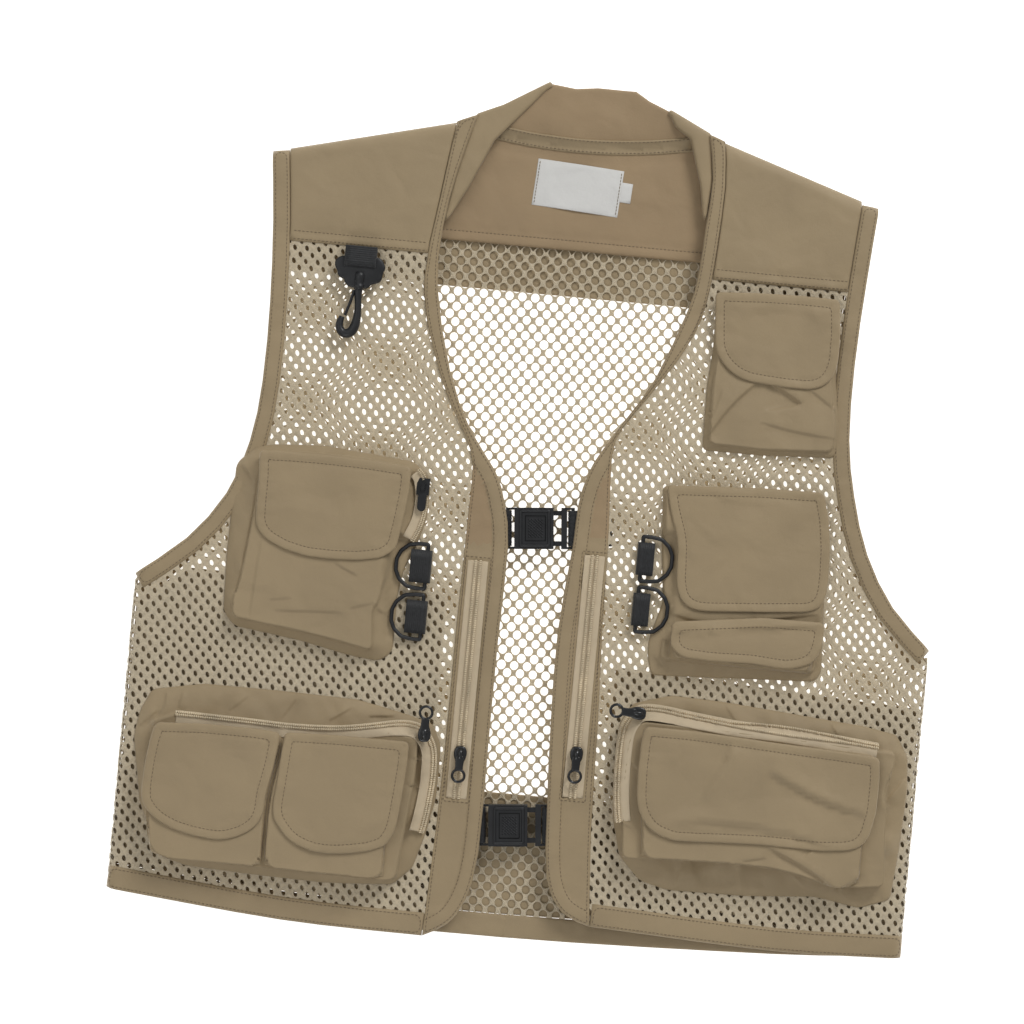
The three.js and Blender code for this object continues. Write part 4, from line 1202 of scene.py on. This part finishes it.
LOWER_RIGHT_FACE = [
    (78, -233.1), (108, -231.3), (148.7, -230.1), (181.4, -230.7), (198, -233.2), (226.4, -240.4),
    (261.1, -236.3), (258.5, -200), (257.5, -171.1), (261.2, -143), (200, -140), (140, -138), (82, -137),
    (74.5, -152), (74, -190), (76.5, -215),
]
LOWER_RIGHT_FOLDS = [
    ([(178, -216), (205, -227), (229, -241)], 2.0, -2.2, 6),
    ([(202, -221), (209, -214)], -1.2, 1.2, 3),
    ([(160, -227), (178, -223)], 0.9, -1.0, 4),
    ([(228, -241), (245, -228)], 1.4, -1.4, 5),
    ([(262, -150), (254, -166), (256, -182)], -1.2, 1.2, 4),
    ([(270, -160), (259, -176)], 1.0, -1.0, 4),
    ([(120, -236), (116, -252)], 0.8, -0.8, 4),
    ([(158, -234), (163, -250)], 0.9, -0.9, 4),
    ([(198, -236), (214, -250)], 1.0, -1.0, 5),
    ([(76, -165), (85, -172)], 0.8, -0.8, 3),
    ([(74, -208), (84, -212)], 0.8, -0.8, 3),
    ([(140, -121), (150, -134)], 0.6, -0.6, 4),
    ([(214, -126), (222, -138)], 0.6, -0.6, 4),
]
RIGHT_PATCH = [(88.6, -206.3), (91, -232.5), (108, -231.3), (148.7, -230.1), (181.4, -230.7), (198, -233.2),
               (226.4, -240.4), (243.3, -238), (243, -211.8), (246.5, -145), (84, -141), (86, -180)]


def on_piece(names, gap=0.8):
    """What a patch lies on: the surface below it, smoothed over a few millimetres."""

    def low(points):
        total = np.zeros(len(points))
        spots = ((0, 0), (3, 0), (-3, 0), (0, 3), (0, -3))
        best = drape_floor(points, names)
        for dx, dy in spots:
            found = heights(points + [dx, dy], names)
            total += np.where(found < -100, best, found)
        return total / len(spots) + gap

    return low


def cad_mouth(x0, x1, y0, y1, shift=4.5):
    return rectangle(x0, x1, y0 + shift, y1 + shift)


def build_pockets():
    pouch("chest_pouch", "chest_pocket", CHEST_OUTLINE, CHEST_FACE, 26.6, on_mesh, CHEST_FOLDS,
          cad_mouth(-194, -108, 5, 16), jump=0.4, seed=1, lumps=1.4)
    pouch("upper_pouch", "upper_pocket", UPPER_OUTLINE, UPPER_FACE, 21.6, on_mesh, UPPER_FOLDS,
          cad_mouth(116, 186, 140, 153), jump=0.45, seed=3, lumps=1.9)
    pouch("mid_pouch", "mid_pocket", MID_OUTLINE, MID_FACE, 21.8, on_mesh, MID_FOLDS,
          cad_mouth(108, 190, 3, 16), jump=0.5, seed=5, lumps=1.3)
    patch = [(97, -93), (155, -94), (198, -94), (199, -64), (98, -66)]
    inset = [(100, -91), (155, -92), (195, -92), (196, -66), (101, -68)]
    pouch("mid_patch", "mid_pocket", patch, inset, 27.4, on_piece(["mid_pouch"]), (),
          cad_mouth(114, 188, -79, -70), jump=0.3, seed=6, step=2.8)
    pouch("lower_left_pouch", "lower_pocket_left", LOWER_LEFT_OUTLINE, LOWER_LEFT_FACE, 29.6, on_mesh,
          LOWER_LEFT_FOLDS, jump=0.62, seed=7, step=3.4)
    for name, outline in LEFT_PATCHES.items():
        outline = np.array(outline, float)
        face = inward(resample(outline, 6), 0.9)
        mouth = cad_mouth(-245, -177, -188, -178) if name == "outer" else cad_mouth(-153, -87, -188, -178)
        dents = [((outline[6] * 0.5 + outline[2] * 0.5 + [[-20, -24], [20, -26]]), 0.5, -0.5, 6)]
        pouch(f"lower_left_patch_{name}", f"lower_patch_{name}", outline, face, 35.6,
              on_piece(["lower_left_pouch"]), dents, mouth, jump=0.85, seed=9 + len(name), lumps=1.1)
    pouch("lower_right_pouch", "lower_pocket_right", LOWER_RIGHT_OUTLINE, LOWER_RIGHT_FACE, 29.6,
          on_mesh, LOWER_RIGHT_FOLDS, jump=0.62, seed=21, step=3.4, lumps=1.5)
    outline = np.array(RIGHT_PATCH, float)
    pouch("lower_right_patch", "lower_pocket_right", outline, inward(resample(outline, 6), 0.9), 35.0,
          on_piece(["lower_right_pouch"]), LOWER_RIGHT_FOLDS[:4], cad_mouth(100, 238, -164, -153),
          jump=0.8, seed=23, lumps=1.4)


# ---------------------------------------------------------------- flaps


FLAP_FOLDS = {
    "chest_flap": [],
    "upper_flap": [([(128, 152), (150, 158), (172, 158), (182, 148)], 0.8, -0.9, 6),
                   ([(114, 150), (124, 136)], 0.6, -0.6, 5)],
    "mid_flap_upper": [([(118, 24), (135, 20), (160, 22)], 0.6, -0.6, 5),
                       ([(110, 0), (125, -10)], 0.5, -0.5, 6)],
    "mid_flap_lower": [([(97, -74), (123, -71), (160, -65), (203, -60)], 1.8, -1.2, 4)],
    "lower_left_flap_outer": [([(-205, -230), (-190, -226), (-178, -228)], 0.6, -0.6, 4)],
    "lower_left_flap_inner": [([(-152, -190), (-143, -172)], 0.8, -0.8, 4),
                              ([(-140, -182), (-128, -170)], 0.7, -0.7, 4),
                              ([(-108, -234), (-88, -222)], 0.6, -0.6, 5)],
    "lower_right_flap": [([(147, -146), (140, -166), (128, -186)], 2.3, -2.0, 12),
                         ([(172, -163), (209, -180), (244, -188)], 2.6, -2.3, 12),
                         ([(104, -206), (146, -200), (182, -204), (222, -212)], 1.6, -1.5, 8)],
}
FLAP_SHAPES = {
    "chest_flap": [
        (-199.2, 26.1), (-197.9, 5.8), (-198, -12.8), (-197.5, -24.4), (-192.7, -32.1), (-186.5, -36.2),
        (-175.5, -41), (-160.1, -44.3), (-142.5, -44.7), (-125.1, -43.9), (-108, -40.6), (-100.9, -35.3),
        (-98.3, -31.5), (-95.4, -12.6), (-93.2, 7.4), (-93, 24.5), (-126.4, 26.6), (-155.6, 27.2),
        (-177.7, 27)],
    "upper_flap": [
        (106.6, 165.5), (108.2, 146.4), (110, 126.9), (115, 117.5), (123.3, 110.1), (133.1, 105.8),
        (144.5, 104.6), (163.4, 103.5), (178.5, 103.6), (187.6, 106.7), (193.5, 113.8), (196.3, 124.4),
        (195.9, 145.1), (193.5, 168), (166.8, 168.4), (138.6, 167.6)],
    "mid_flap_upper": [
        (85.5, 28.2), (88.5, 14), (92, 3), (95, -5), (96.8, -14), (97.4, -26), (98, -38), (100.6, -48),
        (105.5, -54), (113, -57), (121.8, -57.1), (159.2, -54.1), (190.9, -51.1), (199.1, -47.5),
        (203, -38.7), (203.4, -23.6), (202.6, -4.8), (200, 13.7), (194.8, 33), (151.2, 32.2), (113.8, 29.8)],
    "mid_flap_lower": [
        (97.5, -66), (97.2, -80), (98.8, -84.4), (106.1, -90), (125, -91.1), (155, -90.2), (177.8, -91.9),
        (188.9, -89.9), (197.9, -85.3), (201.8, -77.4), (203.3, -66.9), (202.8, -57.2), (160.2, -57.6)],
    "lower_left_flap_outer": [
        (-252.7, -168.1), (-255.3, -177.5), (-257.6, -194.4), (-258.5, -212.8), (-258.1, -221.9),
        (-253.6, -229.1), (-245.3, -236), (-234.2, -240.8), (-223.3, -243.4), (-212.5, -244.8),
        (-201.8, -245.4), (-192.8, -243.3), (-183, -238.6), (-175.6, -231.7), (-172.8, -223),
        (-172.4, -210.8), (-168.6, -190.6), (-166, -167.4), (-183.4, -166), (-220, -166)],
    "lower_left_flap_inner": [
        (-163, -166.7), (-164.2, -179.8), (-165.4, -198.2), (-167, -216.6), (-166.2, -225.7),
        (-162, -232.1), (-155, -239.8), (-147, -244.4), (-136, -247.5), (-123.8, -247.9),
        (-113.3, -246.6), (-98.3, -243.7), (-87.3, -238.9), (-83.9, -234), (-80.8, -226.8), (-79.5, -216),
        (-78, -199.1), (-76.7, -180.7), (-76.9, -165.5), (-128.5, -165.5)],
    "lower_right_flap": [
        (84.6, -139.8), (83.3, -149.7), (82.8, -170.9), (83.8, -190.4), (86.4, -200), (92.9, -209.2),
        (99.8, -213.4), (111.6, -216.9), (124.6, -216.5), (147.3, -215.2), (171.7, -214.1), (188, -214.2),
        (212.6, -214.7), (232, -212.9), (241.4, -209.3), (246.4, -201.5), (249.8, -184.8),
        (250.1, -161.9), (248.6, -146.4), (221.9, -145), (189.2, -143.4), (149.8, -141.4), (116.8, -139.8)],
}
FLAP_BELOW = {
    "chest_flap": ["chest_pouch"], "upper_flap": ["upper_pouch"], "mid_flap_upper": ["mid_pouch"],
    "mid_flap_lower": ["mid_pouch", "mid_patch"],
    "lower_left_flap_outer": ["lower_left_pouch", "lower_left_patch_outer"],
    "lower_left_flap_inner": ["lower_left_pouch", "lower_left_patch_inner"],
    "lower_right_flap": ["lower_right_pouch", "lower_right_patch"],
}


def build_flaps():
    for n, (node, strokes) in enumerate(FLAP_FOLDS.items()):
        outline = rounded(resample(FLAP_SHAPES[node], 8), 2, closed=True)
        rings = (0.6, 1.6, 3.2, 4.8, 6.2, 7.8)
        points, triangles = fill(outline, 3.2, rings, 2.6)
        gap, along = to_line(points, outline, closed=True)
        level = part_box(node)[0].z / MM
        floor = heights(points, FLAP_BELOW[node])
        floor = np.clip(np.where(floor < -100, level - 6, floor), level - 6, level + 0.4) + 1.1
        soft = drape(triangles, np.maximum(floor, level - 1.5), rounds=60)
        waves = 1.0 * noise(points, 36, 90 + n, 1.2, 1.8) + 0.35 * noise(points, 14, 91 + n, 0.4, 2.4)
        relief = hem_relief(gap, along, 6.2, 0.2, 0.4, 0.3, seed=n)
        folds = creased(points, strokes)
        top = soft + waves * np.clip(gap / 10, 0, 1) + relief + 0.8 + folds * np.clip(gap / 6, 0, 1)
        top = np.maximum(top, floor + 0.1)
        piece = shell(node + "_cloth", points, triangles, top, 1.0, TAN, body=node, slot="tan_fabric")
        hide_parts(node)
        declare(extent(outline), area=abs(area_of(outline)))
        row = inward(resample(outline, 3.5), 6.2)
        stitch(row, [node + "_cloth"], body=node, closed=True)


# ---------------------------------------------------------------- zips

TAPE_HALF = 7.2  # half the width of a zip's tape that shows
COIL_GAP = 1.7  # from the middle of a placket zip to the middle of a row of its coil
TOOTH = 1.3  # spacing of the coil's turns


def zip_tape(name, node, line, half, on, lift, cut_width):
    """The tape, draped along its line, with a groove between the two rows of the coil. cut_width
    is its width laid flat, which is more than half[0] + half[1] where it lies on a slope."""
    line = evened(rounded(line, 2), 3)
    outline = np.vstack([beside(line, -half[1]), beside(line, half[0])[::-1]])
    outline = outline if area_of(outline) > 0 else outline[::-1]
    points, triangles = fill(outline, 2.6, (0.6, 1.5), 2.6, lines=[line])
    gap, along = to_line(points, outline, closed=True)
    across, _ = to_line(points, line)
    floor = np.maximum(heights(points, on), drape_floor(points, on, 1.5) - 0.6)
    floor = np.maximum(floor, drape_floor(points, on, 4.5, 17) - 3)
    wave = 0.15 * np.sin(along / 6)
    top = drape(triangles, floor + lift, rounds=12) + wave + softened(gap, 0.8, 0.3)
    top -= 0.5 * np.exp(-((across / 0.7) ** 2))
    piece = shell(name, points, triangles, top, 0.6, TAPE, slot="zip_tape")
    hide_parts(node)
    length = float(np.linalg.norm(np.diff(line, axis=0), axis=1).sum())
    declare((length, cut_width), area=0.97 * length * cut_width)


def zip_coil(name, line, on, spread=None, lift=1.0, apart=0.95):
    """Two rows of slanted turns, each apart from the line. spread(share) opens them further, by
    the share of the way along."""
    line = evened(rounded(line, 2), TOOTH)
    d = np.gradient(line, axis=0)
    d /= np.linalg.norm(d, axis=1)[:, None]
    left = np.column_stack([-d[:, 1], d[:, 0]])
    share = np.linspace(0, 1, len(line))
    opened = spread(share) if spread else np.zeros(len(line))
    pairs = []
    for side, lean in ((-1, 0.3), (1, -0.3)):
        middle = line + left * (side * (apart + opened))[:, None]
        a = middle - left * min(1.05, apart) - d * lean * side
        b = middle + left * min(1.05, apart) + d * lean * side
        level = np.maximum(heights(middle, on), drape_floor(middle, on, 1.5) - 0.5) + lift
        for i in range(len(line)):
            pairs.append(np.array([[*a[i], level[i]], [*b[i], level[i]]]))
    sausages(name, pairs, 0.55, COIL, slot="zip_tape", lift=0.0)


def build_zips():
    for side in SIGNS:
        node = f"zip_placket_{side}"
        low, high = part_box(node)
        x = (low.x + high.x) / 2 / MM
        line = np.array([[x, low.y / MM], [x, high.y / MM]])
        zip_tape(node + "_tape", node, line, (TAPE_HALF, TAPE_HALF), [f"placket_{side}_cloth"], 0.5,
                 2 * TAPE_HALF)
        zip_coil(node + "_coil", line, [node + "_tape"], apart=COIL_GAP)
    left = np.array([(-240, -161), (-212, -161.5), (-183, -162), (-159, -163), (-129, -161.6),
                     (-114, -159.4), (-99, -156.4), (-84, -153.6), (-74.6, -154), (-67.5, -157),
                     (-62, -164), (-59.2, -171.4), (-58.4, -180.4), (-58.4, -194), (-59.5, -206),
                     (-61, -218.7), (-63, -229)], float)
    zip_tape("zip_lower_left_tape", "lower_pocket_left", left, (2.0, 8.5), ["lower_left_pouch"], 0.6, 13)
    zip_coil("zip_lower_left_coil", left, ["zip_lower_left_tape"])
    right = np.array([(248, -139.4), (222, -137), (199, -135.4), (182, -134.4), (167, -133.8),
                      (149, -133.4), (139, -132.5), (115, -130), (98, -127.6), (84, -127.4), (77, -131),
                      (72, -139), (70.2, -145), (69.4, -153), (69.2, -168), (69.8, -184), (71.2, -198),
                      (73, -208)], float)
    zip_tape("zip_lower_right_tape", "lower_pocket_right", right, (8.5, 2.6), ["lower_right_pouch"], 0.6,
             16)

    def gape(share):
        return 1.5 * np.clip(np.sin(np.clip((share - 0.06) / 0.36, 0, 1) * math.pi), 0, 1)

    zip_coil("zip_lower_right_coil", right, ["zip_lower_right_tape"], gape)
    chest = np.array([(-88, 23), (-84, 19), (-82, 11), (-81, 4), (-81.5, -7), (-84, -18), (-88, -27)], float)
    zip_tape("zip_chest_tape", "chest_pocket", chest, (1.2, 7.5), ["chest_pouch"], 0.5, 10.2)
    zip_coil("zip_chest_coil", chest, ["zip_chest_tape"], apart=0.8)


# ---------------------------------------------------------------- webbing and hardware


def ribbed(name, path, width, across, material, thick=1.4, body="root", nodes=(), ribs=7, slot="webbing",
           grosgrain=False):
    """Webbing swept along a path in the plane of path x z. across is the direction of its width.
    Its ribs run along it, or across it in grosgrain."""
    path = np.asarray(path, float)
    if grosgrain:
        path = evened(path, 0.36)
    across = np.asarray(across, float)
    d = np.gradient(path, axis=0)
    d /= np.linalg.norm(d, axis=1)[:, None]
    normal = np.cross(d, across)
    count = 4 if grosgrain else ribs * 4
    place = np.linspace(-0.5, 0.5, count + 1)
    relief = 0.22 * np.abs(np.sin(place * ribs * math.pi)) - 0.25 * (np.abs(place) > 0.49)
    relief = np.broadcast_to(relief * (not grosgrain), (len(path), count + 1))
    if grosgrain:
        relief = relief + 0.3 * np.abs(np.sin(np.arange(len(path)) * math.pi / 4))[:, None]
    outer, inner = [], []
    for p, n, row in zip(path, normal, relief):
        for t, r in zip(place, row):
            outer.append(p + across * width * t + n * (thick / 2 + r))
            inner.append(p + across * width * t - n * (thick / 2 + r))
    points = np.array(outer + inner)
    wide = count + 1
    faces, base = [], len(outer)
    for i in range(len(path) - 1):
        for k in range(count):
            a, b = i * wide + k, (i + 1) * wide + k
            faces.append([a, a + 1, b + 1, b])
            faces.append([base + a, base + b, base + b + 1, base + a + 1])
        for k in (0, count):
            a, b = i * wide + k, (i + 1) * wide + k
            side = [a, b, base + b, base + a]
            faces.append(side if k == 0 else side[::-1])
    for i in (0, len(path) - 1):
        for k in range(count):
            a = i * wide + k
            end = [a, base + a, base + a + 1, a + 1]
            faces.append(end if i == 0 else end[::-1])
    piece = make(name, points, faces, material, body=body, slot=slot)
    for node in nodes:
        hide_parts(node)
    length = float(np.linalg.norm(np.diff(path, axis=0), axis=1).sum())
    declare((length, width))
    return piece


def swept(name, path, radii, material, body="root", node=None, slot="black_plastic", closed=False, sides=14):
    """A round bar along a path. radii are one (or one per point) pair: across and up."""
    path = np.asarray(path, float)
    count = len(path)
    radii = np.broadcast_to(np.asarray(radii, float), (count, 2))
    if closed:
        d = np.roll(path, -1, 0) - np.roll(path, 1, 0)
    else:
        d = np.gradient(path, axis=0)
    d /= np.linalg.norm(d, axis=1)[:, None]
    up = np.array([0, 0, 1.0])
    points, faces = [], []
    for p, t, (wide, tall) in zip(path, d, radii):
        across = np.cross(t, up)
        across /= np.linalg.norm(across)
        lift = np.cross(across, t)
        for k in range(sides):
            turn = 2 * math.pi * k / sides
            points.append(p + across * math.cos(turn) * wide + lift * math.sin(turn) * tall)
    runs = count if closed else count - 1
    for i in range(runs):
        n = (i + 1) % count
        for k in range(sides):
            m = (k + 1) % sides
            faces.append([i * sides + k, n * sides + k, n * sides + m, i * sides + m])
    if not closed:
        faces.append([k for k in range(sides)])
        faces.append([(count - 1) * sides + k for k in reversed(range(sides))])
    piece = make(name, points, faces, material, body=body, slot=slot)
    if node:
        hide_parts(node)
    return piece


def keep(node, material, bevel=0.35, segments=3):
    """A CAD part that shows as it is, with its edges rounded."""
    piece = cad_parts[node]
    piece.data.materials.clear()
    piece.data.materials.append(material)
    edge = piece.modifiers.new("edges", "BEVEL")
    edge.width = bevel * MM
    edge.segments = segments
    edge.limit_method = "ANGLE"
    edge.angle_limit = math.radians(35)
    edge.harden_normals = True
    piece.data.polygons.foreach_set("use_smooth", [True] * len(piece.data.polygons))


def plate(name, outline, z0, z1, edge, material, body, node=None, dome=0.0, step=1.2):
    """A moulded plate with rounded edges whose top swells by dome toward its middle."""
    outline = rounded(outline, 2, closed=True)
    outline = outline if area_of(outline) > 0 else outline[::-1]
    points, triangles = fill(outline, step, (edge * 0.12, edge * 0.45, edge), step * 0.8)
    gap, _ = to_line(points, outline, closed=True)
    fall = softened(gap, edge, edge)
    swell = dome * np.sqrt(np.clip(gap / gap.max(), 0, 1))
    upper = np.column_stack([points, z1 + fall + swell])
    lower = np.column_stack([points, z0 - fall * 0.4])
    count = len(points)
    faces = list(triangles) + [[i + count for i in reversed(t)] for t in triangles]
    faces += [[b, a, a + count, b + count] for a, b in border(triangles)]
    piece = make(name, np.vstack([upper, lower]), faces, material, body=body, slot="black_plastic")
    if node:
        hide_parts(node)
    return piece


RING_SHAPE = ((0, 1), (0.3, 1.0), (0.62, 0.93), (0.88, 0.62), (1, 0.25))  # share out, share up


def build_rings():
    for side, sign in SIGNS.items():
        web = f"ring_webbing_{side}"
        for level in ("upper", "lower"):
            body = f"d_ring_{level}_{side}"
            low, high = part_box(body)
            radius = 1.4
            bar_x = (high.x if sign < 0 else low.x) / MM + sign * 1.3
            far_x = (low.x if sign < 0 else high.x) / MM - sign * radius
            y0, y1 = low.y / MM + radius, high.y / MM - radius
            z = (low.z + high.z) / 2 / MM
            cy, half = (y0 + y1) / 2, (y1 - y0) / 2
            shape = [(u, v) for u, v in RING_SHAPE] + [(u, -v) for u, v in reversed(RING_SHAPE)]
            path = np.array([[bar_x + (far_x - bar_x) * u, cy + half * v, z] for u, v in shape])
            path = rounded(resample(path, 2.5), 3, closed=True)
            swept(body + "_bar", path, (radius, 1.25), PLASTIC, body, body, closed=True)
            turn = np.radians(np.linspace(-90, 90, 13))
            wrap = [[bar_x - sign * math.cos(a) * 2.4, cy, z + math.sin(a) * 2.4] for a in turn]
            reach = 11.5 if sign < 0 else 8.5
            under = [[bar_x + sign * u, cy, z - 2.4] for u in (reach, reach * 0.7, reach * 0.3)]
            over = [[bar_x + sign * reach * u, cy, z + 2.4 - 1.9 * u] for u in (0.25, 0.5, 0.75, 1)]
            ribbed(f"{body}_webbing", under + wrap + over, 23, [0, 1.0, 0], WEBBING, nodes=[web],
                   grosgrain=True)


def build_buckles():
    turn = math.radians(5)
    c, s = math.cos(turn), math.sin(turn)
    for level, (x, y) in {"upper": (0, -10), "lower": (1, -219)}.items():
        female, male, button = (f"buckle_{part}_{level}" for part in ("female", "male", "button"))
        for node in (female, male, button):
            keep(node, PLASTIC, 0.45)

        def at(u, v, z):
            return [x + u * c - v * s, y + u * s + v * c, z]

        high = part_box(female)[1].z / MM
        rim = [(-13.6, 12.2), (6.4, 12.2), (6.4, -12.2), (-13.6, -12.2)]
        path = resample(np.array(rim, float), 2)
        path = rounded(path, 2, closed=True)
        line = np.array([at(u, v, high + 0.15) for u, v in path])
        swept(f"{female}_rim", line, (1.1, 0.7), PLASTIC, "root", closed=True, sides=10)
        button_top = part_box(button)[1].z / MM
        studs = []
        for i in range(-4, 5):
            for k in range(-6, 7):
                if (i + k) % 2:
                    continue
                u, v = -3.2 + i * 1.15, k * 1.0
                studs.append((u, v))
        points, faces = [], []
        for u, v in studs:
            base = len(points)
            for du, dv in ((-0.95, 0), (0, -0.85), (0.95, 0), (0, 0.85)):
                points.append(at(u + du, v + dv, button_top - 0.05))
            points.append(at(u, v, button_top + 0.5))
            points.append(at(u, v, button_top - 0.3))
            for k in range(4):
                n = (k + 1) % 4
                faces.append([base + k, base + n, base + 4])
                faces.append([base + n, base + k, base + 5])
        make(f"{button}_studs", points, faces, PLASTIC, body=button, slot="black_plastic", smooth=False)
        for side, sign in SIGNS.items():
            node = f"strap_{level}_{side}"
            low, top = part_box(node)
            ends = (low.x / MM, top.x / MM)
            z0, z1 = low.z / MM, top.z / MM
            outer_u = (ends[0] if sign < 0 else ends[1]) - x
            bar = sign * 22.9
            radius = (z1 - z0) / 2 - 0.7
            mid = (z0 + z1) / 2
            a = np.radians(np.linspace(-90, 90, 13))
            wrap = [(bar - sign * math.cos(t) * radius, mid + math.sin(t) * radius) for t in a]
            far = outer_u - sign * 0.5
            under = [(u, mid - radius) for u in np.linspace(far, bar + sign * 2, 7)]
            over = [(u, mid + radius) for u in np.linspace(bar + sign * 2, far, 7)]
            path = [at(u, 0, z) for u, z in under + wrap + over]
            body = "root" if sign < 0 else male
            ribbed(node + "_webbing", path, 25, [-s, c, 0], WEBBING, body=body, nodes=[node], ribs=9)


HOOK_PLATE = [
    (-153.5, 167.6), (-158.3, 165.2), (-160, 161.5), (-158.8, 158), (-157.4, 155.9), (-157.1, 153.2),
    (-154.8, 151.4), (-152.3, 150.9), (-151.5, 148), (-149.8, 146.3), (-147, 145.4), (-142, 144.8),
    (-137, 145.2), (-134.4, 146.2), (-133.4, 148.4), (-130.3, 149.2), (-127.3, 150.4), (-125.6, 153.7),
    (-126, 156.5), (-124, 160.2), (-125.4, 164.2), (-128, 167.4), (-133, 168),
]
HOOK_BAR = [
    (-141.5, 146), (-141.6, 142), (-141.2, 137), (-140.6, 131), (-140.8, 124), (-141.8, 118.3),
    (-143.8, 114.4), (-147.3, 112.6), (-150.8, 113.6), (-152.6, 117.2), (-152.4, 121), (-151.2, 124.5),
]
HOOK_RADII = (2.9, 2.7, 2.4, 2.4, 2.6, 2.9, 3.3, 3.4, 3.2, 2.9, 2.6, 1.9)
HOOK_GATE = [(-144.6, 143.5), (-145.6, 138), (-147.6, 131), (-149.4, 125.5)]


def build_hook():
    z0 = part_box("hook_loop")[0].z / MM
    plate("hook_loop_plate", np.array(HOOK_PLATE), z0 + 1.2, z0 + 4.6, 1.1, PLASTIC, "hook_loop",
          "hook_loop", dome=0.8)
    hook_low, hook_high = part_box("snap_hook")
    z = (hook_low.z + hook_high.z) / 2 / MM
    middle = (hook_low.x + hook_high.x) / 2 / MM
    line = evened(rounded(HOOK_BAR, 2), 1.0)
    share = np.linspace(0, 1, len(line))
    radius = np.interp(share, np.linspace(0, 1, len(HOOK_RADII)), HOOK_RADII)
    path = np.column_stack([line, np.full(len(line), z)])
    swept("snap_hook_bar", path, np.column_stack([radius, radius * 0.95]), PLASTIC, "snap_hook", "snap_hook")
    swivel = [[middle + 0.6, y, z] for y in (156.5, 154, 150, 148.6, 147.4, 145.4, 144)]
    girth = [3.2, 3.6, 3.6, 2.7, 3.7, 3.7, 3.0]
    swept("snap_hook_swivel", swivel, [[r, r * 0.95] for r in girth], PLASTIC, "snap_hook", "snap_hook")
    gate = evened(rounded(HOOK_GATE, 2), 1.0)
    path = np.column_stack([gate, np.full(len(gate), z)])
    swept("snap_hook_gate_bar", path, (1.1, 1.6), PLASTIC, "snap_hook_gate", "snap_hook_gate")
    tab_low, tab_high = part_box("hook_tab")
    x = (tab_low.x + tab_high.x) / 2 / MM
    bar_y, bar_z, reach = 163.4, 22.2, 3.5
    a = np.radians(np.linspace(90, -90, 13))
    wrap = [[x, bar_y - math.cos(t) * reach, bar_z + math.sin(t) * reach] for t in a]
    over = [[x, y, bar_z + reach] for y in (bar_y + 11, bar_y + 7, bar_y + 3)]
    under = [[x, y, bar_z - reach - 0.05 * (y - bar_y)] for y in (bar_y + 3, bar_y + 7, bar_y + 11)]
    ribbed("hook_tab_webbing", over + wrap + under, 22, [1.0, 0, 0], WEBBING, nodes=["hook_tab"],
           grosgrain=True)


SLIDER_OUTLINE = [(-6, -1.6), (-5.2, -3.4), (-2.5, -4.6), (1.5, -4.4), (4.5, -3.2), (6, -2.2),
                  (6, 2.2), (4.5, 3.2), (1.5, 4.4), (-2.5, 4.6), (-5.2, 3.4), (-6, 1.6)]
SLIDER_BRIDGE = [(-3.8, 0), (-3.2, 1.4), (-1.4, 2.2), (1.4, 2.2), (3.2, 1.4), (4.0, 0)]
PULL_NECK = [(0.4, -2.5), (4, -3.2), (8, -2.7), (11, -3.0), (11, 3.0), (8, 2.7), (4, 3.2), (0.4, 2.5)]
PULL_RING = (14.6, 4.3, 0.95)  # how far out, its radius and the radius of its wire


def build_sliders():
    for name in ("placket_left", "placket_right", "lower_left", "lower_right"):
        body, pull = f"zip_slider_{name}", f"zip_pull_{name}"
        low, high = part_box(body)
        at = (low + high) / 2 / MM
        pull_low, pull_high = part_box(pull)
        out = ((pull_low + pull_high) / 2 / MM - at).xy
        out.normalize()
        turn = np.array([[out.x, out.y], [-out.y, out.x]])
        base = low.z / MM
        place = np.array([at.x, at.y])
        plate(body + "_shield", np.array(SLIDER_OUTLINE) @ turn + place, base + 0.2, base + 3.1, 0.8,
              ENAMEL, body, body, dome=0.5, step=1.0)
        bridge = np.array([[u, 0.0] for u, _ in SLIDER_BRIDGE]) @ turn + place
        rise = [base + 3.5 + up for _, up in SLIDER_BRIDGE]
        swept(body + "_bridge", np.column_stack([bridge, rise]), (1.4, 0.6), ENAMEL, body, body)
        level = (pull_low.z + pull_high.z) / 2 / MM
        plate(pull + "_neck", np.array(PULL_NECK) @ turn + place, level - 0.6, level + 0.6, 0.4, ENAMEL, pull,
              pull, dome=0.2, step=0.9)
        far, radius, wire = PULL_RING
        angle = np.linspace(0, 2 * math.pi, 33)[:-1]
        ring = np.column_stack([far + radius * np.cos(angle), radius * np.sin(angle)]) @ turn + place
        ring = np.column_stack([ring, np.full(len(ring), level)])
        swept(pull + "_ring", ring, (wire, 0.75), ENAMEL, pull, pull, closed=True, sides=10)
    keep(CHEST_SLIDER, ENAMEL, 0.5)


make_camera()
make_stage()
build_mesh_panels()
build_back()
build_hems_and_armholes()
build_shoulders()
build_plackets()
build_collar()
build_labels()
build_inner_bags()
build_pockets()
build_flaps()
build_zips()
build_rings()
build_buckles()
build_hook()
build_sliders()
build_stitches()
